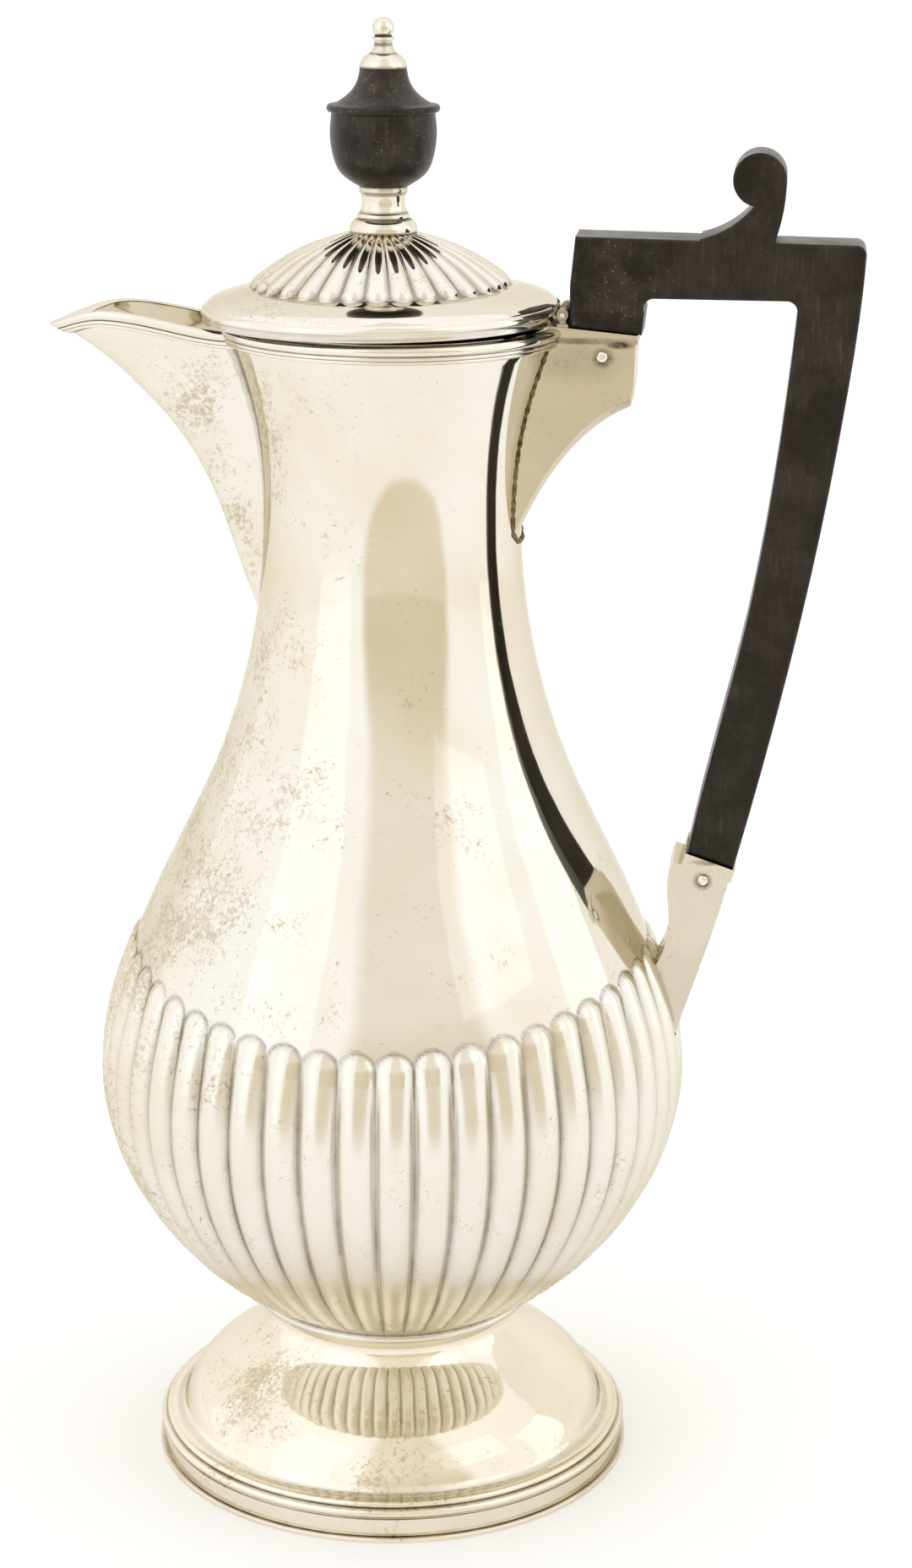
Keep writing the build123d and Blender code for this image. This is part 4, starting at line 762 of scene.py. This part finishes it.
class JUG_OT_lid(bpy.types.Operator):
    """Raised silver lid: a dome with convex flutes on a plain flange, with its edge wire"""
    bl_idname = "jug.lid"
    bl_label = "Lid"

    def execute(self, context):
        sizes = context.scene.jug_sizes
        count = sizes.lid_flutes
        pitch = 2 * pi / count
        columns = count * LID_COLUMNS
        turns = [2 * pi * i / columns for i in range(columns)]
        flange = smooth_line(FLANGE_LINE, 22)
        line = flange[:-1] + smooth_line(DOME_LINE, 90)
        foot = len(flange) - 1
        spans = lengths(line)
        start = float(np.interp(-LID_FLUTES_START, [-r for r, _ in line], spans))
        points, shade = [], []
        for k, (radius, height) in enumerate(line):
            ahead, behind = line[min(k + 1, len(line) - 1)], line[max(k - 1, 0)]
            if k >= foot:
                behind = line[max(k - 1, foot)]
            dr, dz = ahead[0] - behind[0], ahead[1] - behind[1]
            size = hypot(dr, dz)
            out, up = dz / size, -dr / size
            width = pitch * radius
            half = width * FLUTE_HALF
            for turn in turns:
                number = round(turn / pitch - 0.5) + 0.5
                across = (turn - number * pitch) * radius
                depth = across if spans[k] >= start else hypot(across, start - spans[k])
                rise = dark = 0.0
                # The crease darkens each flute towards its sides and the valleys between them: painted shade
                # in the hollows, with tarnish there too.
                if abs(depth) <= half:
                    rise = lobe(depth, half, sizes.lid_flute_rise * width)
                    floor = 0.0 if k < foot else -0.1
                    rise = max(rise - max(0.0, spans[foot] - spans[k]) * 0.4, floor)
                    dark = 0.85 * (abs(depth) / half) ** 6 if rise > 0.02 or k >= foot else 0.0
                elif k >= foot:
                    dark = 0.8
                points.append(from_front(radius + out * rise, turn, height + up * rise))
                shade.append(dark)
        crown = [(3.5, 13.6), (1.2, 13.8), (1.2, 12.8), (3.5, 12.7)]
        under = ([(4.9, 12.3)] + smooth_line([(5.2, 12.3), (14.05, 8.85), (22.2, 3.15)], 24)
                 + [(25.0, 2.6), (29.1, 1.1), (30.4, 0.1), (31.0, 0.1)])
        for radius, height in crown + under:
            points += [from_front(radius, turn, height) for turn in turns]
        shade += [0.0] * (len(points) - len(shade))
        make_piece("lid_dome", points, ring_faces(len(points) // columns, columns), "lid",
                   finish("sterling_silver_chased_lid"), replaces=("lid_cover",), smooth_angle=0,
                   shade=shade, matrix=lid_matrix)
        line = ([(31.0, -1.6), (31.55, -1.6)] + arc_line((31.6, -1.55), (31.5, -0.8), (31.75, -0.25), 6)
                + arc_line((31.8, -0.2), (31.72, 0.35), (31.0, 1.1), 7))
        # The marks darken the wire towards its lower edge, over the gap under the lid: painted shadow, with
        # tarnish there too.
        turn_piece("lid_edge_wire", line, "lid", finish("sterling_silver_drawn_wire"),
                   "lid_edge", 60, marks=dict(enumerate((0.6, 0.5, 0.3, 0.3, 0.2, 0.2, 0.3, 0.4))),
                   segments=384, matrix=lid_matrix, hinge_gap=6.2)
        return {"FINISHED"}


class JUG_OT_finial(bpy.types.Operator):
    """Turned ebony urn between silver mounts, with a small silver ball"""
    bl_idname = "jug.finial"
    bl_label = "Finial"

    def execute(self, context):
        metal, wood = finish("sterling_silver_drawn_wire"), finish("ebony_oiled_upright")
        centre = (-1.6, 0)
        base = ([(1.1, 231.0), (5.75, 230.8)]
                + arc_line((5.95, 231.0), (5.85, 232.2), (4.9, 233.15), 9)
                + [(4.6, 233.25), (4.45, 233.3)]
                + arc_line((4.45, 233.35), (4.6, 233.8), (4.3, 234.25), 5)
                + smooth_line([(4.15, 234.4), (3.75, 236.2), (3.95, 237.6)], 9)
                + [(4.2, 237.75), (4.3, 238.2), (4.2, 238.75), (1.1, 238.75)])
        # The marks darken the mount where it meets the lid and the wood and in its grooves: painted shade,
        # with tarnish there too.
        turn_piece("finial_silver_base", base, "lid", metal, "finial_base", 50,
                   marks={1: 0.9, 2: 0.8, 10: 0.9, 11: 1.0, 12: 0.9, 13: 0.6, 17: 0.9, 18: 0.8,
                          26: 0.4, 27: 0.7, 28: 0.1, 29: 0.6}, segments=128, centre=centre)
        bowl = [(4.3, 238.85), (7.7, 241.4), (8.93, 244.6), (9.3, 247.6), (9.0, 251.55)]
        cup = [(1.1, 238.8), (4.25, 238.8)] + smooth_line(bowl, 26)[1:] + [(1.1, 251.6)]
        turn_piece("finial_wood_cup", cup, "lid", wood, "finial_cup", 50, segments=128,
                   centre=centre)
        roof = [(8.35, 253.0), (6.2, 254.5), (4.6, 256.7), (4.07, 259.0)]
        cover = ([(1.1, 251.6), (9.5, 251.6)] + arc_line((9.6, 251.62), (9.87, 252.2), (9.55, 252.8), 7)
                 + [(9.2, 252.85), (8.4, 253.0)] + smooth_line(roof, 20)[1:] + [(1.1, 259.0)])
        turn_piece("finial_wood_cover", cover, "lid", wood, "finial_cover", 45, segments=128,
                   centre=centre)
        cap = ([(1.1, 259.0), (4.1, 259.0)] + arc_line((4.17, 259.1), (3.82, 260.3), (2.45, 261.4), 10)
               + smooth_line([(2.4, 261.45), (1.8, 262.3), (1.56, 263.0)], 7)
               + [(1.56, 263.58), (1.1, 263.58)])
        # The marks darken the cap where it meets the wood and the ball: painted shade, with tarnish there
        # too.
        turn_piece("finial_silver_cap", cap, "lid", metal, "finial_cap", 50,
                   marks={1: 0.9, 2: 0.7, 11: 0.9, 12: 0.8, **dict.fromkeys(range(13, 17), 0.1),
                          17: 0.6, 18: 0.9}, segments=96, centre=centre)
        ball = ([(0.9, 263.6), (1.75, 263.6)]
                + arc_line((1.85, 263.65), (1.93, 263.95), (1.8, 264.2), 5)
                + [(1.45, 264.35), (1.5, 264.5)]
                + arc_line((1.6, 264.6), (1.93, 265.6), (0.02, 267.53), 18)
                + [(0.02, 263.9), (0.9, 263.9)])
        # The marks darken the ball's foot where it sits on the cap: painted shade, with tarnish there too.
        turn_piece("finial_silver_ball", ball, "lid", metal, "finial_ball", 50,
                   marks={1: 0.8, 6: 0.6, 7: 1.0, 8: 0.9, 9: 0.5}, segments=96, centre=centre)
        return {"FINISHED"}


# Solder.
def bead(line, radius, sides=8):
    """Points, faces and crease shade of a rough bead of solder along a line."""
    points, faces, shade = [], [], []
    for k, place in enumerate(line):
        along = (line[min(k + 1, len(line) - 1)] - line[max(k - 1, 0)]).normalized()
        out = Vector((place.x, place.y, 0)).normalized()
        side = along.cross(out).normalized()
        out = side.cross(along)
        thick = radius * (1 + 0.22 * sin(2.3 * k) + 0.16 * sin(5.1 * k + 1))
        for i in range(sides):
            turn = 2 * pi * i / sides
            points.append(tuple(place + (out * cos(turn) + side * sin(turn)) * thick))
            shade.append(0.75 + 0.25 * sin(1.7 * k + 0.8 * i))
    for k in range(len(line) - 1):
        for i in range(sides):
            a, b = k * sides + i, k * sides + (i + 1) % sides
            faces.append((a, b, b + sides, a + sides))
    faces.append(tuple(reversed(range(sides))))
    faces.append(tuple((len(line) - 1) * sides + i for i in range(sides)))
    return points, faces, shade


class JUG_OT_seams(bpy.types.Operator):
    """Beads of old blackened solder where the two sockets meet the silver"""
    bl_idname = "jug.seams"
    bl_label = "Solder seams"

    def execute(self, context):
        # Half of each seam as (across, height), from its top down to the middle.
        upper = ([(6.4, z) for z in np.linspace(211.6, 179.6, 60)]
                 + arc_line((6.3, 179.0), (4.6, 177.6), (0.0, 177.1), 14))
        shoe = SmoothCurve([85.5, 89.5, 99.0, 108.0], [4.4, 4.8, 5.6, 6.1])
        lower = ([(float(shoe(z)), z) for z in np.linspace(97.6, 86.2, 26)]
                 + arc_line((4.3, 85.7), (3.0, 85.0), (0.0, 84.8), 10))
        seams = (("upper_solder_seam", upper, 0.0, 0.42), ("lower_solder_seam", lower, 0.35, 0.5))
        for name, half, proud, radius in seams:
            around = half + [(-y, z) for y, z in reversed(half[:-1])]
            line = [Vector((sqrt((neck_at(z) + proud) ** 2 - y * y), y, z)) for y, z in around]
            points, faces, shade = bead(line, radius)
            make_piece(name, points, faces, "jug", finish("silver_solder_blackened"),
                       smooth_angle=0, shade=shade)
        return {"FINISHED"}


# The solids that show as they are, by their finish.
DRESS = {
    "ebony_oiled_upright": ("handle",),
    "sterling_silver_soldered_socket": ("upper_socket", "lower_socket", "upper_socket_collar",
                                        "lower_socket_collar", "hinge_plate", "lid_hinge_leaf"),
    "sterling_silver_drawn_wire": ("upper_socket_pin", "lower_socket_pin", "hinge_pin", "finial_rod",
                                   "finial_nut", "finial_washer"),
    "sterling_silver_chased_lid": ("lid_bezel",),
}


class JUG_OT_fittings(bpy.types.Operator):
    """Handle, sockets, rivets and hinge: the solids' own shapes in ebony and silver"""
    bl_idname = "jug.fittings"
    bl_label = "Handle and fittings"

    def execute(self, context):
        for name, nodes in DRESS.items():
            material = finish(name)
            for node in nodes:
                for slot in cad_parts[node].material_slots:
                    slot.material = material
        return {"FINISHED"}


# Studio, in metres.
PHOTO_HEIGHT = 1856
FOCAL_LENGTH_PIXELS = 3900
SENSOR_HEIGHT = 36.0
CAMERA_PLACE = (0.0116, -0.580, 0.29895)
CAMERA_TURN, CAMERA_DROP, CAMERA_ROLL = 6.0, 16.2, 0.3
DIM_SIDE = (0.31, -0.951, 0)


def card(name, size, place, strength, colour="FFFFFF"):
    """A soft box, turned to face the jug's middle."""
    light = bpy.data.lights.new(name, "AREA")
    light.shape = "RECTANGLE"
    light.size, light.size_y = size
    light.energy = strength
    light.color = srgb(colour)[:3]
    lamp = bpy.data.objects.new(name, light)
    lamp.location = place
    lamp.rotation_euler = (Vector((0, 0, 0.13)) - Vector(place)).to_track_quat("-Z", "Y").to_euler()
    bpy.context.scene.collection.objects.link(lamp)


def dim_side(tree, direction, low, high, less):
    """How far a direction lies towards the dim side of the room, in front of the jug and to its right."""
    level = add_node(tree, "ShaderNodeVectorMath", {0: direction, 1: (1, 1, 0)}, operation="MULTIPLY")
    level = add_node(tree, "ShaderNodeVectorMath", {0: level}, operation="NORMALIZE")
    facing = add_node(tree, "ShaderNodeVectorMath", {0: level, 1: DIM_SIDE}, operation="DOT_PRODUCT")
    facing = add_node(tree, "ShaderNodeMath", {0: facing.outputs["Value"], 1: less}, operation="SUBTRACT")
    return add_node(tree, "ShaderNodeMapRange", {"Value": facing, "From Min": low, "From Max": high},
                    interpolation_type="SMOOTHSTEP")


def matt_white_paper():
    """Studio paper, calendered and matt, with the room's warm shade painted on its front."""
    paper = bpy.data.materials.new("matt_white_paper")
    paper.use_nodes = True
    tree = paper.node_tree
    surface = tree.nodes["Principled BSDF"]
    place = add_node(tree, "ShaderNodeTexCoord").outputs["Object"]
    # The painted shade starts as a round-headed arch about 0.45 m in front of the jug.
    away = add_node(tree, "ShaderNodeVectorMath", {0: place}, operation="LENGTH")
    arch = add_node(tree, "ShaderNodeMath", {0: 0.27, 1: away.outputs["Value"]}, operation="DIVIDE")
    arch = add_node(tree, "ShaderNodeMath", {0: arch, 1: 3.0}, operation="POWER")
    shade = dim_side(tree, place, 0.77, 0.84, arch)
    tint = add_node(tree, "ShaderNodeMix", {0: shade, 6: srgb("FFFFFF"), 7: srgb("E5DDCC")},
                    data_type="RGBA")
    tree.links.new(tint.outputs[2], surface.inputs["Base Color"])
    surface.inputs["Roughness"].default_value = 0.9
    return paper


def white_room(scene):
    """A white room all round, with a dim warm side low down in front of the jug."""
    world = bpy.data.worlds.new("white_studio")
    scene.world = world
    world.use_nodes = True
    tree = world.node_tree
    sky = tree.nodes["Background"]
    direction = add_node(tree, "ShaderNodeTexCoord").outputs["Generated"]
    climb = add_node(tree, "ShaderNodeSeparateXYZ", {0: direction}).outputs["Z"]
    low = add_node(tree, "ShaderNodeMapRange",
                   {"Value": climb, "From Min": 0.1, "From Max": 0.4, "To Min": 1.0, "To Max": 0.55},
                   interpolation_type="SMOOTHSTEP")
    wide = add_node(tree, "ShaderNodeMapRange",
                    {"Value": climb, "From Min": 0.05, "From Max": 0.3, "To Min": -0.08, "To Max": 0.0})
    side = dim_side(tree, direction, 0.85, 0.93, wide)
    shade = add_node(tree, "ShaderNodeMath", {0: low, 1: side}, operation="MULTIPLY")
    tint = add_node(tree, "ShaderNodeMix", {0: shade, 6: srgb("FFFFFF"), 7: srgb("DAD0BA")},
                    data_type="RGBA")
    tree.links.new(tint.outputs[2], sky.inputs["Color"])
    sky.inputs["Strength"].default_value = 1.2


class JUG_OT_studio(bpy.types.Operator):
    """Pale sweep, soft boxes and the camera at the photograph's place"""
    bl_idname = "jug.studio"
    bl_label = "Studio"

    def execute(self, context):
        scene = context.scene
        camera_data = bpy.data.cameras.new("camera")
        camera_data.sensor_fit = "VERTICAL"
        camera_data.sensor_height = SENSOR_HEIGHT
        camera_data.lens = FOCAL_LENGTH_PIXELS / PHOTO_HEIGHT * SENSOR_HEIGHT
        camera_data.clip_start = 0.01
        camera = bpy.data.objects.new("camera", camera_data)
        camera.matrix_world = (Matrix.Rotation(radians(CAMERA_TURN), 4, "Z")
                               @ Matrix.Translation(CAMERA_PLACE)
                               @ Matrix.Rotation(radians(90 - CAMERA_DROP), 4, "X")
                               @ Matrix.Rotation(radians(CAMERA_ROLL), 4, "Z"))
        scene.collection.objects.link(camera)
        scene.camera = camera
        # The sweep runs level under the jug and turns up behind it in a quarter circle.
        back, bend, half_width = 0.9, 0.6, 3.5
        line = [(-3.0, 0.0), (back, 0.0)]
        for step in range(1, 9):
            turn = step * pi / 16
            line.append((back + bend * sin(turn), bend - bend * cos(turn)))
        line.append((back + bend, 2.6))
        points = [(x, y, z) for y, z in line for x in (-half_width, half_width)]
        faces = [(2 * k, 2 * k + 1, 2 * k + 3, 2 * k + 2) for k in range(len(line) - 1)]
        mesh = bpy.data.meshes.new("paper_sweep")
        mesh.from_pydata(points, [], faces)
        mesh.shade_smooth()
        mesh.materials.append(matt_white_paper())
        sweep = bpy.data.objects.new("paper_sweep", mesh)
        scene.collection.objects.link(sweep)
        white_room(scene)
        scene.view_settings.view_transform = "Standard"
        # Soft boxes only a little brighter than the white room, as in a light tent.
        card("soft_box_left", (0.75, 1.5), (-0.82, -0.88, 0.65), 0.5, "E0EBFF")
        card("soft_box_right", (0.8, 0.7), (0.85, -0.6, 0.8), 0.24, "EAF1FF")
        card("soft_box_far_right", (0.55, 0.8), (1.2, 0.2, 0.42), 0.22)
        return {"FINISHED"}


class JUG_PT_panel(bpy.types.Panel):
    """Sizes, colours and makers of the jug's pieces, in order"""
    bl_idname = "JUG_PT_panel"
    bl_label = "Fluted hot water jug"
    bl_space_type = "VIEW_3D"
    bl_region_type = "UI"
    bl_category = "Jug"

    def draw(self, context):
        column = self.layout.column(align=True)
        for group in (context.scene.jug_sizes, context.scene.jug_colours):
            for key in group.__annotations__:
                column.prop(group, key)
        for maker in MAKERS:
            column.operator(maker.bl_idname)


MAKERS = (JUG_OT_studio, JUG_OT_body, JUG_OT_spout, JUG_OT_mouth, JUG_OT_foot, JUG_OT_lid, JUG_OT_finial,
          JUG_OT_seams, JUG_OT_fittings)
CLASSES = (JugSizes, JugColours, *MAKERS, JUG_PT_panel)


def register():
    for kind in CLASSES:
        bpy.utils.register_class(kind)
    bpy.types.Scene.jug_sizes = PointerProperty(type=JugSizes)
    bpy.types.Scene.jug_colours = PointerProperty(type=JugColours)


def unregister():
    del bpy.types.Scene.jug_colours
    del bpy.types.Scene.jug_sizes
    for kind in reversed(CLASSES):
        bpy.utils.unregister_class(kind)


def main():
    register()
    for maker in MAKERS:
        group, name = maker.bl_idname.split(".")
        getattr(getattr(bpy.ops, group), name)()


if __name__ == "__main__":
    main()
